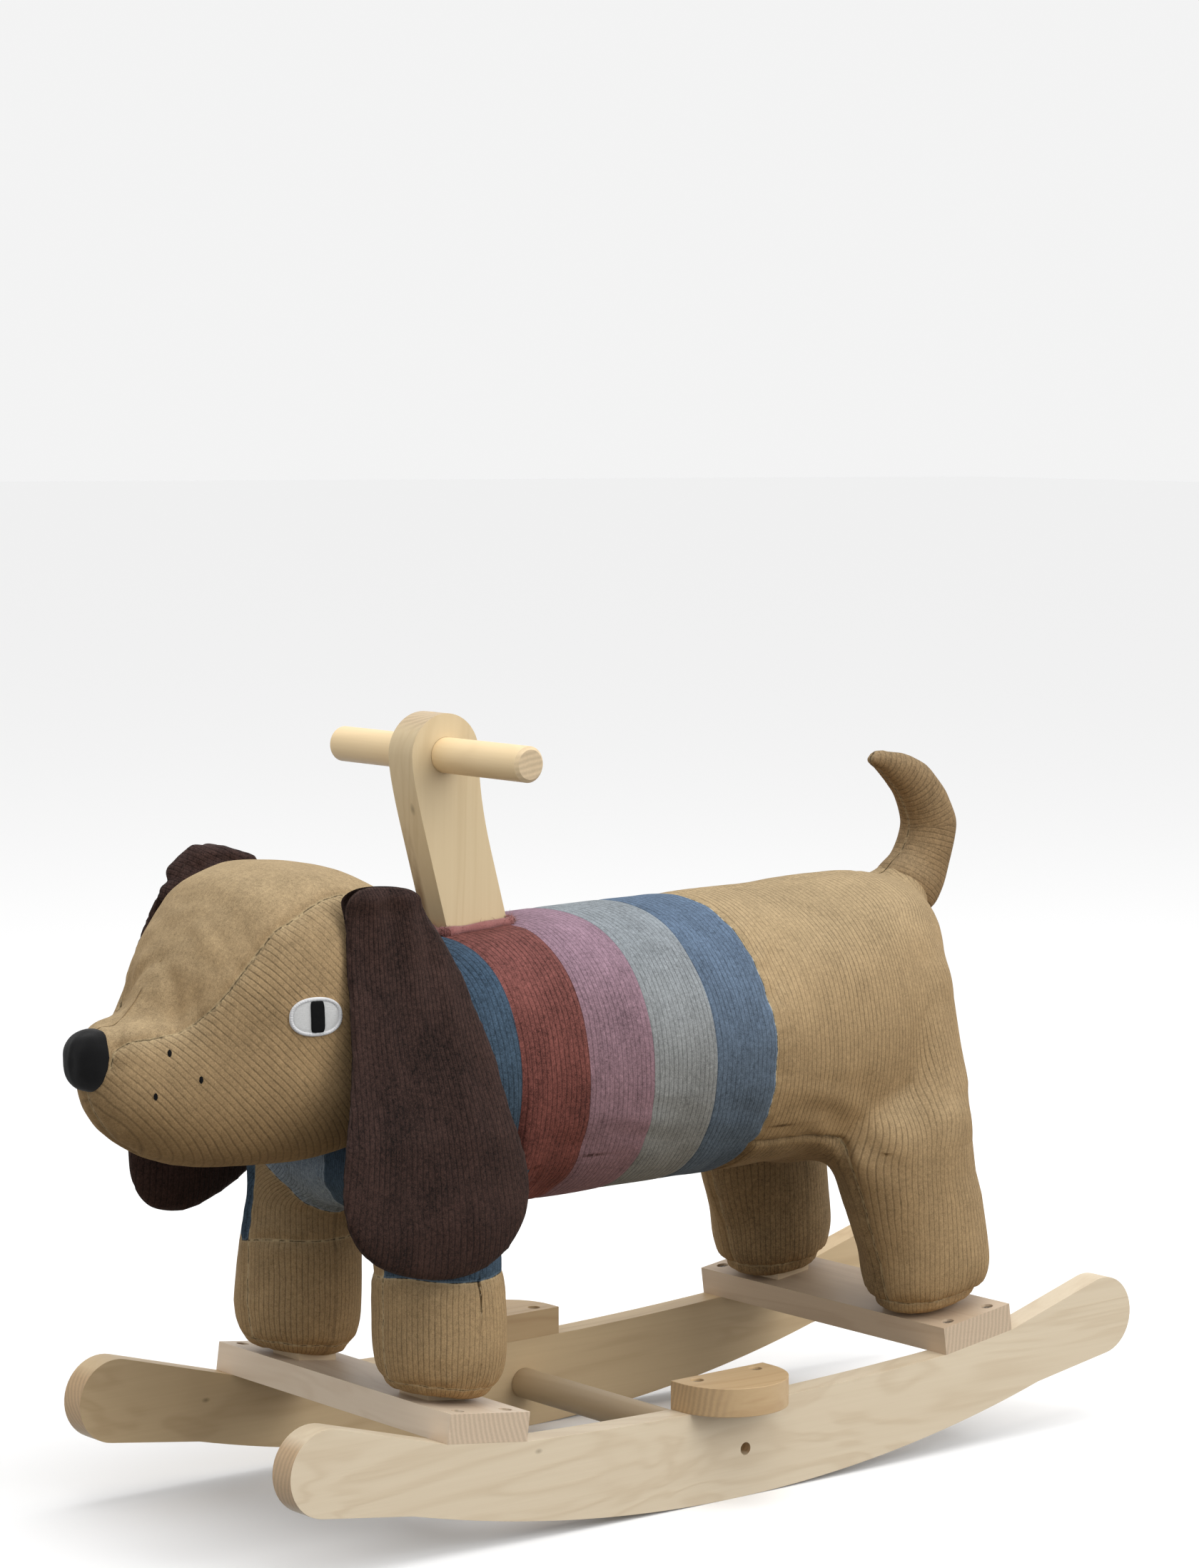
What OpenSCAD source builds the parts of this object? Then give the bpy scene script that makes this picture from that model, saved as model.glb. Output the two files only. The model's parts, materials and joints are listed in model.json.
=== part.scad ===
// Plush dog rocking toy: a stuffed corduroy dog on two wooden rockers.
// Millimetres. The nose points to -Y, the dog's left side is +X, and +Z is up.

/* [Rockers] */
// Half the length of one rocker
half_len = 345; // [320:5:420]
// Width of the base over both rockers
base_w = 240; // [220:2:300]
// Thickness of a rocker board
rocker_t = 18; // [14:1:26]
// Radius of the curved running edge
arc_r = 1040; // [900:10:1300]
// Depth of a rocker at its middle
mid_depth = 58.5; // [52:0.5:64]
// Radius of the round end of a rocker
bulb_r = 26; // [22:1:30]
// Height of the centre of the round end
bulb_z = 68; // [64:1:76]
// Where the running edge leaves its arc, from the middle
waist_y = 258; // [240:2:270]
// How far the whole toy leans on its nose when it stands free, in degrees
rest_lean = 0.6; // [0:0.1:2]

/* [Cross boards] */
// Distance of a cross board from the middle
board_y = 203; // [185:1:225]
// Width of a cross board
board_w = 60; // [48:1:74]
// Thickness of a cross board
board_t = 18; // [14:1:24]
// Tilt of a cross board, in degrees
board_tilt = 7.6; // [5:0.1:10]
// Height of a cross board's underside at its centre
seat_z = 67; // [66:0.5:72]
// Distance between the two screws in a board end
board_screw_pitch = 36; // [24:1:40]

/* [Rail and footrests] */
// Diameter of the rail between the rockers
rail_d = 20; // [16:1:26]
// Height of the rail's centre
rail_z = 30; // [24:1:36]
// Length of a footrest along the rocker
foot_len = 76; // [60:1:90]
// Reach of a footrest past the rocker's outer face
foot_reach = 30; // [20:1:40]
// Thickness of a footrest
foot_t = 18; // [14:1:24]
// Centre of the footrests along the rocker
foot_y = -8; // [-20:1:20]

/* [Handle] */
// Thickness of the handle post
post_t = 24; // [18:1:30]
// Width of the handle post at its round top
post_w = 51; // [44:1:60]
// Diameter of the grip bar
grip_d = 22; // [18:1:28]
// Length of the grip bar
grip_len = 190; // [160:2:240]
// Centre of the grip bar along the toy
grip_y = -150; // [-160:1:-140]
// Height of the grip bar above the back
grip_rise = 106; // [90:1:140]
// Lean of the post's lower part, in degrees
post_lean = 15.4; // [12:0.2:18]

/* [Dog] */
// Width of the body
body_w = 192; // [180:2:240]
// Height of the body from belly to back
body_h = 179; // [170:1:220]
// Height of the belly above the cross boards
belly_rise = 94; // [84:1:130]
// Radius of a leg
leg_r = 42; // [36:1:51]
// Distance of a leg's centre from the middle plane
leg_x = 74; // [70:1:84]
// Width of the head
head_w = 162; // [150:2:200]
// Height of the chin above the belly
chin_rise = 51; // [40:1:70]
// Thickness of the plush skin
skin_t = 3; // [2:0.5:4]
// Width of one coloured stripe
stripe_w = 50; // [45:1:50]
// Height of the hem where a front leg's blue sleeve ends, above the cross boards
sleeve_rise = 68; // [50:1:90]
// Diameter of the nose
nose_d = 40; // [34:1:46]
// Length of an eye
eye_len = 38; // [30:1:44]
// Height of an eye
eye_h = 26; // [20:1:32]

/* [Ears and tail] */
// Length of an ear from its sewn edge
ear_len = 232; // [200:2:240]
// Thickness of an ear
ear_t = 12; // [8:1:16]
// Radius of an ear's round lower end
ear_r = 68; // [56:1:74]
// Radius of the ball at the tail's root
tail_root_r = 23; // [20:1:26]

/* [Inner frame] */
// Side of a square leg bar
bar_w = 28; // [24:1:30]
// Thickness of the spine board
spine_t = 18; // [15:1:24]
// Height of the spine board above the belly
spine_rise = 57; // [50:1:70]
// Diameter of a leg bolt
bolt_d = 8; // [6:1:10]

/* [Hidden] */

$fn = 64;
ring_n = 32;          // points round a soft section
gap = 0.3;            // between soft pieces that lie against each other
play = 0.1;           // round a screw, a bolt or the grip bar
big = 400;            // longer than any piece that is cut with it

deck_z = seat_z + board_t;
belly_z = deck_z + belly_rise;
back_z = belly_z + body_h;
chin_z = belly_z + chin_rise;
spine_z = belly_z + spine_rise;
spine_top = spine_z + spine_t;
grip_z = back_z + grip_rise;
rocker_x = base_w/2 - rocker_t/2;
bulb_y = half_len - bulb_r;
rear_leg_y = board_y - 8;
front_leg_y = -board_y;
bar_x = leg_x - 8;
sleeve_z = deck_z + sleeve_rise;
stripe_y = -154;                        // front edge of the first full stripe

// Screws: length, shank diameter, head diameter
board_screw = [40, 4, 8];
foot_screw = [35, 4, 8];
rail_screw = [45, 4, 7.4];
spine_screw = [50, 4.5, 9];
cleat_screw = [40, 4, 8];
screw_sink = 1.5;                       // how deep the visible heads lie
rail_bore = [8, 7];                     // diameter and depth of the counterbore
leg_bolt_len = 60;
washer = [18, 1.6];
post_bolt_d = 6;
cleat_w = 22;
cleat_h = 36;

// Soft sections: place along Y, half width, bottom, top, squareness.
// The body's widths are shares of half its width, and its heights count from belly and back.
body_plan = [
  [-252, 0.40, 66, 64, 2.1], [-245, 0.66, 40, 42, 2.2], [-228, 0.88, 14, 24, 2.4],
  [-190, 0.94, 3, 12, 2.5], [stripe_y, 0.96, 1, 4, 2.5], [-104, 0.99, 0, 1, 2.5],
  [60, 1.00, 0, 1, 2.5], [115, 1.00, 0, 0, 2.5], [165, 0.98, 1, -5, 2.4],
  [205, 0.90, 6, -5, 2.3], [235, 0.70, 24, 2, 2.2], [252, 0.46, 50, 20, 2.1],
  [262, 0.24, 76, 44, 2.0]];
body = [for (s = body_plan)
  [s[0], s[1]*body_w/2, belly_z + s[2], back_z - s[3], s[4]]];
// The head's widths are shares of half its width, and its heights count from the chin.
head_plan = [
  [-404, 0.16, 52, 84, 2.0], [-398, 0.25, 42, 92, 2.1], [-386, 0.41, 24, 99, 2.2],
  [-362, 0.58, 8, 112, 2.3], [-338, 0.73, 1, 144, 2.5], [-312, 0.91, 0, 170, 2.8],
  [-280, 1.00, 0, 178, 3.0], [-240, 0.99, 4, 174, 3.0], [-205, 0.84, 20, 157, 2.8],
  [-186, 0.56, 46, 130, 2.4]];
head = [for (s = head_plan) [s[0], s[1]*head_w/2, chin_z + s[2], chin_z + s[3], s[4]]];
nose_at = [0, -397, chin_z + 70];
gusset_i = [5, 11];                     // ring points where the head's top panel ends
neck_at = [-205, chin_z + 70];          // a point of the neck seam's plane, Y and Z
neck_lean = 23;                         // how far that plane leans back
eye_at = [-291, chin_z + 95];           // Y and Z
knots_at = [[-371, chin_z + 78], [-352, chin_z + 60], [-380, chin_z + 56]];
// Leg outline: height above the cross board, and radius as a share of the leg's
leg_plan = [[-8, 0.70], [2, 0.84], [14, 0.96], [40, 1.00], [80, 0.98], [120, 0.84], [152, 0.62]];
sole_r = 0.66*leg_r;
// Tail: Y, height above the back, radius
tail_plan = [[250, -9, 22], [258, 2, 21], [266, 18, 19], [270, 35, 17.5], [264, 51, 16],
             [253, 65, 13.5], [240, 74, 10.5], [227, 80, 7], [216, 83, 4]];
tail_at = [0, 248, back_z - 6];
// Ears: the sewn edge, and the sizes of the flap
ear_root_x = head_w/2 - 4;
ear_root_z = chin_z + 170;
ear_root_y = [-270, -221];
ear_clear_x = leg_x + leg_r + ear_t/2 + 3;
ear_splay = atan2(ear_clear_x - ear_root_x, ear_root_z - (deck_z + 95));

function power(v, p) = sign(v)*pow(abs(v), p);
function mix(a, b, t) = a + (b - a)*t;
// Points of a section, grown by g
function ring(s, g) = [for (i = [0:ring_n - 1]) let (a = 360*i/ring_n)
  [(s[1] + g)*power(cos(a), 2/s[4]), s[0],
   (s[2] + s[3])/2 + ((s[3] - s[2])/2 + g)*power(sin(a), 2/s[4])]];
// The section at a place y between two sections of a plan
function between(p, y, i = 0) = y <= p[i + 1][0] || i == len(p) - 2
  ? mix(p[i], p[i + 1], (y - p[i][0])/(p[i + 1][0] - p[i][0])) : between(p, y, i + 1);
// The sections of a plan from y0 to y1
function stretch(p, y0, y1) = concat([between(p, y0)],
  [for (s = p) if (s[0] > y0 + 0.5 && s[0] < y1 - 0.5) s], [between(p, y1)]);
// Half the width of a section at a height
function side_x(s, z) =
  s[1]*pow(1 - pow(abs(2*z - s[2] - s[3])/(s[3] - s[2]), s[4]), 1/s[4]);
function bezier(a, b, c, n) = [for (i = [0:n]) let (t = i/n)
  (1 - t)*(1 - t)*a + 2*t*(1 - t)*b + t*t*c];

// Faces between the ring of n points that starts at point a and the one that starts at b
function strip(a, b, n) = [for (i = [0:n - 1], h = [0, 1]) let (k = (i + 1) % n)
  h == 0 ? [a + i, a + k, b + k] : [a + i, b + k, b + i]];
function cap(a, n) = [for (i = [n - 1:-1:0]) a + i];
function reversed(list) = [for (i = [len(list) - 1:-1:0]) list[i]];

// A solid through rings of points
module through(rings) {
  n = len(rings[0]);
  m = len(rings);
  polyhedron(points = [for (r = rings) each r], faces = concat(
    [for (j = [0:m - 2]) each strip(j*n, (j + 1)*n, n)],
    [cap(0, n), reversed(cap((m - 1)*n, n))]));
}

// A skin between outer and inner rings: a tube (0), or a cup shut at its first (-1) or last (1) end
module shell(outer, inner, shut = 0) {
  n = len(outer[0]);
  m = len(outer);
  polyhedron(points = [for (r = concat(outer, inner)) each r], faces = concat(
    [for (j = [0:m - 2]) each strip(j*n, (j + 1)*n, n)],
    [for (j = [m:2*m - 2]) each strip((j + 1)*n, j*n, n)],
    shut < 0 ? [cap(0, n), reversed(cap(m*n, n))] : strip(m*n, 0, n),
    shut > 0 ? [reversed(cap((m - 1)*n, n)), cap((2*m - 1)*n, n)]
      : strip((m - 1)*n, (2*m - 1)*n, n)));
}

// The rings of a plan, grown by g; its ends move out by g where they are closed
function rings_of(plan, g = 0, ends = [1, 1]) = let (last = len(plan) - 1)
  [for (i = [0:last]) let (s = plan[i], e = i == 0 ? -g*ends[0] : i == last ? g*ends[1] : 0)
    ring([s[0] + e, s[1], s[2], s[3], s[4]], g)];

// A soft solid through the sections of a plan
module soft(plan, g = 0) {
  through(rings_of(plan, g));
}

// Moves a piece from the rockers' own frame to the frame of the toy standing free
function lean_y(y, z) = y*cos(rest_lean) - (z - arc_r)*sin(rest_lean);
frame_y = -(lean_y(nose_at[1], nose_at[2]) - nose_d/2 + lean_y(bulb_y, bulb_z) + bulb_r)/2;
module stand() {
  translate([0, frame_y, arc_r]) rotate([rest_lean, 0, 0]) translate([0, 0, -arc_r]) children();
}

// An outline drawn in the Y-Z plane, t thick and centred on X = 0
module upright(t) {
  rotate([90, 0, 90]) translate([0, 0, -t/2]) linear_extrude(t) children();
}

module mirror_x(side) {
  mirror([side < 0 ? 1 : 0, 0, 0]) children();
}

// Places a piece in the frame of the front (-1) or rear (1) cross board
module on_board(end) {
  translate([0, end*board_y, seat_z]) rotate([end*board_tilt, 0, 0]) children();
}

// Everything below the top face of a cross board, plus h
module below_board(end, h = 0) {
  on_board(end) translate([-big/2, -big/4, -big]) cube([big, big/2, big + board_t + h]);
}

// Countersunk wood screw, its head's face at z = 0, pointing down
module wood_screw(s) {
  difference() {
    screw_body(s, 0);
    for (a = [0, 90]) rotate([0, 0, a]) translate([-s[2]/4, -0.5, -1.4]) cube([s[2]/2, 1, 3]);
  }
}

module screw_body(s, g) {
  rotate_extrude() polygon([[0, 0], [s[2]/2 + g, 0], [s[2]/2 + g, -0.6],
    [s[1]/2 + g, -0.6 - (s[2] - s[1])/2], [s[1]/2 + g, -s[0] + 4], [0, -s[0] - g]]);
}

// The hole for a wood screw, open above for its sunk head
module screw_hole(s, up = 20) {
  screw_body(s, play);
  translate([0, 0, -0.01]) cylinder(r = s[2]/2 + play, h = up);
}

module board_screw_places(end) {
  on_board(end) for (x = [-rocker_x, rocker_x], y = [-board_screw_pitch/2, board_screw_pitch/2])
    translate([x, y, board_t - screw_sink]) children();
}

module foot_screw_places(side) {
  for (y = [foot_y - 24, foot_y + 24])
    translate([side*rocker_x, y, foot_seat() + foot_t - screw_sink]) children();
}

module rail_screw_place(side) {
  translate([side*(base_w/2 - rail_bore[1]), 0, rail_z]) rotate([0, side*90, 0]) children();
}

function leg_y(end) = end < 0 ? front_leg_y : rear_leg_y;

// The foot of a leg on its cross board
module leg_place(end, side) {
  on_board(end) translate([side*bar_x, leg_y(end) - end*board_y, 0]) children();
}

// Wooden base

function arc_z(y) = arc_r - sqrt(arc_r*arc_r - y*y);
seat_in = [board_y - board_w/2*cos(board_tilt), seat_z - board_w/2*sin(board_tilt)];
seat_out = [board_y + board_w/2*cos(board_tilt), seat_z + board_w/2*sin(board_tilt)];
hollow_r = (pow(seat_in[0], 2) + pow(seat_in[1] - mid_depth, 2))/(2*(seat_in[1] - mid_depth));
function hollow_z(y) = mid_depth + hollow_r - sqrt(hollow_r*hollow_r - y*y);
function foot_seat() = hollow_z(abs(foot_y) + foot_len/2);

// Where a line from p touches the round end; up is 1 over it and -1 under it
function touch(p, up) = let (c = [bulb_y, bulb_z], d = c - p,
  a = atan2(d[1], d[0]) + up*asin(bulb_r/norm(d))) c + up*bulb_r*[-sin(a), cos(a)];

// The rear half of a rocker's outline, from the middle of the running edge round to the top.
// The top is flat under the footrests.
function rocker_half() = let (
    waist = [waist_y, arc_z(waist_y)],
    bulb = [bulb_y, bulb_z],
    under = touch(waist, -1) - bulb,
    over = touch(seat_out, 1) - bulb,
    from = atan2(under[1], under[0]),
    to = atan2(over[1], over[0]),
    flat_y = abs(foot_y) + foot_len/2)
  concat([for (i = [1:24]) let (y = waist_y*i/24) [y, arc_z(y)]],
    [for (i = [0:24]) let (a = mix(from, to, i/24)) bulb + bulb_r*[cos(a), sin(a)]],
    [seat_out, seat_in],
    [for (i = [1:8]) let (y = mix(seat_in[0], flat_y, i/8)) [y, hollow_z(y)]]);

module rocker_outline() {
  half = rocker_half();
  polygon(concat([[0, 0]], half, [for (p = reversed(half)) [-p[0], p[1]]]));
}

module rocker(side) {
  color("#dcc8a0") difference() {
    translate([side*rocker_x, 0, 0]) upright(rocker_t) rocker_outline();
    for (end = [-1, 1]) board_screw_places(end) screw_hole(board_screw);
    foot_screw_places(side) screw_hole(foot_screw);
    rail_screw_place(side) {
      screw_hole(rail_screw, 0.1);
      cylinder(d = rail_bore[0], h = rail_bore[1] + 1);
    }
  }
}

module cross_board(end) {
  color("#cdb591") difference() {
    on_board(end) translate([-base_w/2, -board_w/2, 0]) cube([base_w, board_w, board_t]);
    board_screw_places(end) screw_hole(board_screw);
    for (side = [-1, 1]) leg_place(end, side) leg_bolt_hole();
  }
}

module rail() {
  inner = base_w - 2*rocker_t;
  color("#d3bb94") difference() {
    translate([-inner/2, 0, rail_z]) rotate([0, 90, 0]) cylinder(d = rail_d, h = inner);
    for (side = [-1, 1]) rail_screw_place(side) screw_body(rail_screw, play);
  }
}

// A D-shaped block, flat along the rocker's inner face and round outside
module footrest(side) {
  straight = rocker_t + foot_reach - foot_len/2;
  color("#c8a97c") difference() {
    mirror_x(side) translate([base_w/2 - rocker_t, foot_y, foot_seat()]) {
      translate([0, -foot_len/2, 0]) cube([straight, foot_len, foot_t]);
      intersection() {
        translate([straight, 0, 0]) cylinder(d = foot_len, h = foot_t);
        translate([straight - 1, -foot_len, -1]) cube([foot_len, 2*foot_len, foot_t + 2]);
      }
    }
    foot_screw_places(side) screw_hole(foot_screw);
  }
}

module board_screws() {
  color("silver") for (end = [-1, 1]) board_screw_places(end) wood_screw(board_screw);
}

module footrest_screws() {
  color("silver") for (side = [-1, 1]) foot_screw_places(side) wood_screw(foot_screw);
}

module rail_screws() {
  color("goldenrod") for (side = [-1, 1]) rail_screw_place(side) wood_screw(rail_screw);
}

// Handle

function post_front(z) = grip_y - post_w/2 + (grip_z - 12 - z)*tan(post_lean);
function post_rear(z) = grip_y + post_w/2 + (grip_z - 27 - z)*tan(post_lean);

module post_outline() {
  r = post_w/2;
  difference() {
    union() {
      translate([grip_y, grip_z]) circle(r);
      polygon(concat(
        bezier([grip_y - r, grip_z], [grip_y - r, grip_z - 12],
          [post_front(grip_z - 45), grip_z - 45], 8),
        [[post_front(spine_top), spine_top], [post_rear(spine_top), spine_top]],
        bezier([post_rear(grip_z - 60), grip_z - 60], [grip_y + r, grip_z - 27],
          [grip_y + r, grip_z], 8)));
    }
    translate([grip_y, grip_z]) circle(grip_d/2 + play);
  }
}

module handle_post() {
  color("#dbc79c") difference() {
    upright(post_t) post_outline();
    post_bolt_places() cylinder(d = post_bolt_d + 2*play, h = big, center = true);
    translate([0, grip_y, grip_z]) cylinder(d = 4 + 2*play, h = post_w);
  }
}

// Beech dowel through the post, with a shallow glue groove at each face of the post
module grip_bar() {
  edge = 2;
  groove = [3, 0.3];
  color("#dfc28f") difference() {
    translate([-grip_len/2, grip_y, grip_z]) rotate([0, 90, 0]) {
      cylinder(d1 = grip_d - 2*edge, d2 = grip_d, h = edge);
      translate([0, 0, edge]) cylinder(d = grip_d, h = grip_len - 2*edge);
      translate([0, 0, grip_len - edge]) cylinder(d1 = grip_d, d2 = grip_d - 2*edge, h = edge);
    }
    translate([0, grip_y, grip_z - 4 - play]) cylinder(d = 4 + 2*play, h = big);
    for (side = [-1, 1]) translate([side*(post_t - groove[0])/2, grip_y, grip_z])
      rotate([0, 90, 0]) difference() {
        cylinder(d = grip_d + 2, h = groove[0], center = true);
        cylinder(d = grip_d - 2*groove[1], h = groove[0] + 1, center = true);
      }
  }
}

module grip_pin() {
  color("#b89b6c") translate([0, grip_y, grip_z - 4]) cylinder(d = 4, h = post_w/2 + 3);
}

// Fuzzy cord sewn round the post where it enters the back
module post_piping() {
  roll = 6;
  front = post_front(back_z) - roll;
  rear = post_rear(back_z) + roll;
  color("#b07a78") difference() {
    translate([-post_t/2 - roll, front, back_z + gap]) cube([post_t + 2*roll, rear - front, roll]);
    upright(post_t + 2*gap) post_zone();
  }
}

module post_zone() {
  polygon([for (p = [[-gap, grip_z - 60], [-gap, spine_top - 1]])
      [post_front(p[1]) + p[0], p[1]], [post_rear(spine_top - 1) + gap, spine_top - 1],
    [post_rear(grip_z - 60) + gap, grip_z - 60]]);
}

// Cross bolts of the post: M6, along X
module post_bolt_places() {
  z = spine_top + 20;
  mid = (post_front(z) + post_rear(z))/2;
  for (y = [mid - 10, mid + 10]) translate([0, y, z]) rotate([0, 90, 0]) children();
}

module post_cleats() {
  color("#cdb591") difference() {
    for (side = [-1, 1]) translate([side > 0 ? post_t/2 : -post_t/2 - cleat_w,
      post_front(spine_top) - 6, spine_top]) cube([cleat_w, 52, cleat_h]);
    post_bolt_places() cylinder(d = post_bolt_d + 2*play, h = big, center = true);
    cleat_screw_places() screw_hole(cleat_screw);
  }
}

// Screws from under the spine board up into the cleats
module cleat_screw_places() {
  z = spine_top + 20;
  mid = (post_front(z) + post_rear(z))/2;
  for (x = [-1, 1]*(post_t/2 + cleat_w/2), y = [mid, mid + 19])
    translate([x, y, spine_z]) rotate([180, 0, 0]) children();
}

module cleat_screws() {
  color("silver") cleat_screw_places() wood_screw(cleat_screw);
}

module post_bolts() {
  reach = post_t/2 + cleat_w;
  color("silver") post_bolt_places() {
    translate([0, 0, -reach]) cylinder(d = post_bolt_d, h = 2*reach + 8);
    translate([0, 0, -reach - 4]) cylinder(d = 11, h = 4, $fn = 6);
  }
}

module post_nuts() {
  reach = post_t/2 + cleat_w;
  color("silver") post_bolt_places() translate([0, 0, reach]) difference() {
    cylinder(d = 11, h = 5, $fn = 6);
    translate([0, 0, -1]) cylinder(d = post_bolt_d + 2*play, h = 7);
  }
}

// Inner frame

// Half the spine board's width, a little inside the leg bars' outer faces
spine_w = bar_x + bar_w/2 - 5;
spine_corner = 8;    // how much is sawn off its corners
module spine_plan(g = 0) {
  front = front_leg_y - bar_w/2 - 2;
  rear = rear_leg_y + bar_w/2 + 2;
  w = spine_w + g;
  c = spine_corner;
  polygon([[-w, front + c], [c - w, front - g], [w - c, front - g], [w, front + c],
    [w, rear - c], [w - c, rear + g], [c - w, rear + g], [-w, rear - c]]);
}

module spine_screw_places() {
  for (end = [-1, 1], side = [-1, 1], y = [-7, 7])
    translate([side*bar_x, leg_y(end) + y, spine_top]) children();
}

module spine_board() {
  color("#cdb591") difference() {
    translate([0, 0, spine_z]) linear_extrude(spine_t) spine_plan();
    spine_screw_places() screw_hole(spine_screw);
    cleat_screw_places() screw_hole(cleat_screw);
  }
}

module bar(end, side, g = 0) {
  w = bar_w + 2*g;
  difference() {
    translate([side*bar_x - w/2, leg_y(end) - w/2, deck_z - 12])
      cube([w, w, spine_z - deck_z + 12]);
    below_board(end);
  }
}

module leg_bar(end, side) {
  color("#cdb591") difference() {
    bar(end, side);
    leg_place(end, side) cylinder(d = bolt_d + 2*play, h = leg_bolt_len + play);
    spine_screw_places() screw_hole(spine_screw);
  }
}

// Hex bolt up through a cross board, with its washer in a counterbore
bolt_head = [13, 5.3];
bolt_seat = bolt_head[1] + washer[1] + 1;
module leg_bolt_hole() {
  translate([0, 0, -1]) cylinder(d = washer[0] + 2, h = bolt_seat + 1);
  cylinder(d = bolt_d + 2*play, h = leg_bolt_len + play);
}

module leg_bolts() {
  color("silver") for (end = [-1, 1], side = [-1, 1]) leg_place(end, side) {
    translate([0, 0, bolt_seat - washer[1] - bolt_head[1]])
      cylinder(d = bolt_head[0]/cos(30), h = bolt_head[1], $fn = 6);
    translate([0, 0, bolt_seat - washer[1] - 1])
      cylinder(d = bolt_d, h = leg_bolt_len - bolt_seat + washer[1] + 1);
  }
}

module leg_washers() {
  color("silver") for (end = [-1, 1], side = [-1, 1]) leg_place(end, side)
    translate([0, 0, bolt_seat - washer[1]]) difference() {
      cylinder(d = washer[0], h = washer[1]);
      translate([0, 0, -1]) cylinder(d = bolt_d + 0.8, h = washer[1] + 2);
    }
}

// Plush body

module tail_socket() {
  translate(tail_at) {
    sphere(r = tail_root_r + 2*gap);
    rotate([-22, 0, 0]) cylinder(r1 = tail_root_r + 2*gap, r2 = tail_root_r + 16, h = 46);
  }
}

// The space of the front (-1) or rear (1) leg bars
module bars_zone(end) {
  for (side = [-1, 1]) bar(end, side, play);
}

module body_filling() {
  color("white") difference() {
    soft(body, -skin_t - gap);
    translate([0, 0, spine_z - play]) linear_extrude(spine_t + 2*play) spine_plan(play);
    bars_zone(-1);
    bars_zone(1);
    neck_cut(1);
    upright(post_t + 2*gap) post_zone();
    translate([-post_t/2 - cleat_w - 10, post_front(spine_top) - 8, spine_top])
      cube([post_t + 2*cleat_w + 24, 58, cleat_h + 2]);
    tail_socket();
  }
}

// A ring of the body's skin from y0 to y1
module skin_ring(y0, y1) {
  part = stretch(body, y0, y1);
  shell(rings_of(part), rings_of(part, -skin_t, [0, 0]));
}

// One coloured stripe, counted from the collar. The first two leave room for the handle post.
module stripe(n, tint) {
  color(tint) difference() {
    skin_ring(stripe_y + n*stripe_w, stripe_y + (n + 1)*stripe_w);
    if (n < 2) upright(post_t + 2*gap) post_zone();
  }
}

module collar() {
  part = stretch(body, body[0][0], stripe_y);
  color("#5a7182") difference() {
    shell(rings_of(part), rings_of(part, -skin_t, [1, 0]), -1);
    bars_zone(-1);
    neck_cut(1);
  }
}

module rump() {
  part = stretch(body, stripe_y + 4*stripe_w, body[len(body) - 1][0]);
  color("#a68c63") difference() {
    shell(rings_of(part), rings_of(part, -skin_t, [0, 1]), 1);
    bars_zone(1);
    tail_socket();
  }
}

// What the neck seam's plane cuts away: the front of the body (1) or the back of the head (-1)
module neck_cut(keep) {
  translate([0, neck_at[0], neck_at[1]]) rotate([-neck_lean, 0, 0])
    translate([-big/2, keep > 0 ? -big : 0, -big/2]) cube([big, big, big]);
}

// Legs

// A leg's shape, grown by g and made longer at its foot by more
module leg_shape(end, side, g = 0, more = 0) {
  h = belly_rise/94;
  top = (leg_plan[len(leg_plan) - 1][0] + 8)*h + g;
  translate([side*leg_x, leg_y(end), deck_z - 8]) rotate_extrude()
    polygon(concat([[0, -more]], [for (p = leg_plan) [p[1]*leg_r + g, min((p[0] + 8)*h, top)]],
      [[0, top]]));
}

// What a leg leaves out: the space under its cross board's top and the body beside it
module leg_cuts(end, h = 0) {
  widest = between(body, leg_y(end) - end*leg_r);
  below_board(end, h);
  rotate([90, 0, 0]) translate([0, 0, -leg_y(end) - 2*leg_r]) linear_extrude(4*leg_r)
    polygon([for (p = ring(widest, gap)) [p[0], p[2]]]);
}

module leg_skin(end, side) {
  difference() {
    leg_shape(end, side);
    leg_shape(end, side, -skin_t, 1);
    leg_cuts(end);
    sole_zone(end, side, gap);
  }
}

// The round sole of a leg, grown by g
module sole_zone(end, side, g = 0) {
  leg_place(end, side) translate([side*(leg_x - bar_x), 0, board_t - g])
    cylinder(r = sole_r + g, h = skin_t + 2*g);
}

module leg_front(side) {
  color("#a68c63") difference() {
    leg_skin(-1, side);
    sleeve_zone(side);
  }
}

module sleeve_zone(side) {
  mirror_x(side) translate([leg_x - 14, front_leg_y - 2*leg_r, sleeve_z])
    cube([3*leg_r, 4*leg_r, 3*leg_r]);
}

module sleeve(side) {
  color("#5a7182") intersection() {
    leg_skin(-1, side);
    sleeve_zone(side);
  }
}

module leg_rear(side) {
  color("#a68c63") leg_skin(1, side);
}

module paw_soles() {
  color("#8f7850") for (end = [-1, 1], side = [-1, 1]) difference() {
    sole_zone(end, side);
    bar(end, side, play);
  }
}

module leg_filling() {
  color("white") for (end = [-1, 1], side = [-1, 1]) difference() {
    leg_shape(end, side, -skin_t - gap);
    leg_cuts(end, skin_t + gap);
    bar(end, side, play);
  }
}

// Head

// The head's skin over ring points a to b: an outer and an inner sheet with a closed rim
module head_panel(a, b) {
  outer = rings_of(head);
  inner = rings_of(head, -skin_t);
  last = len(head) - 1;
  difference() {
    through([for (j = [0:last]) concat([for (i = [a:b]) outer[j][(i + ring_n) % ring_n]],
      [for (i = [b:-1:a]) inner[j][(i + ring_n) % ring_n]])]);
    neck_cut(-1);
  }
}

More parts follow.
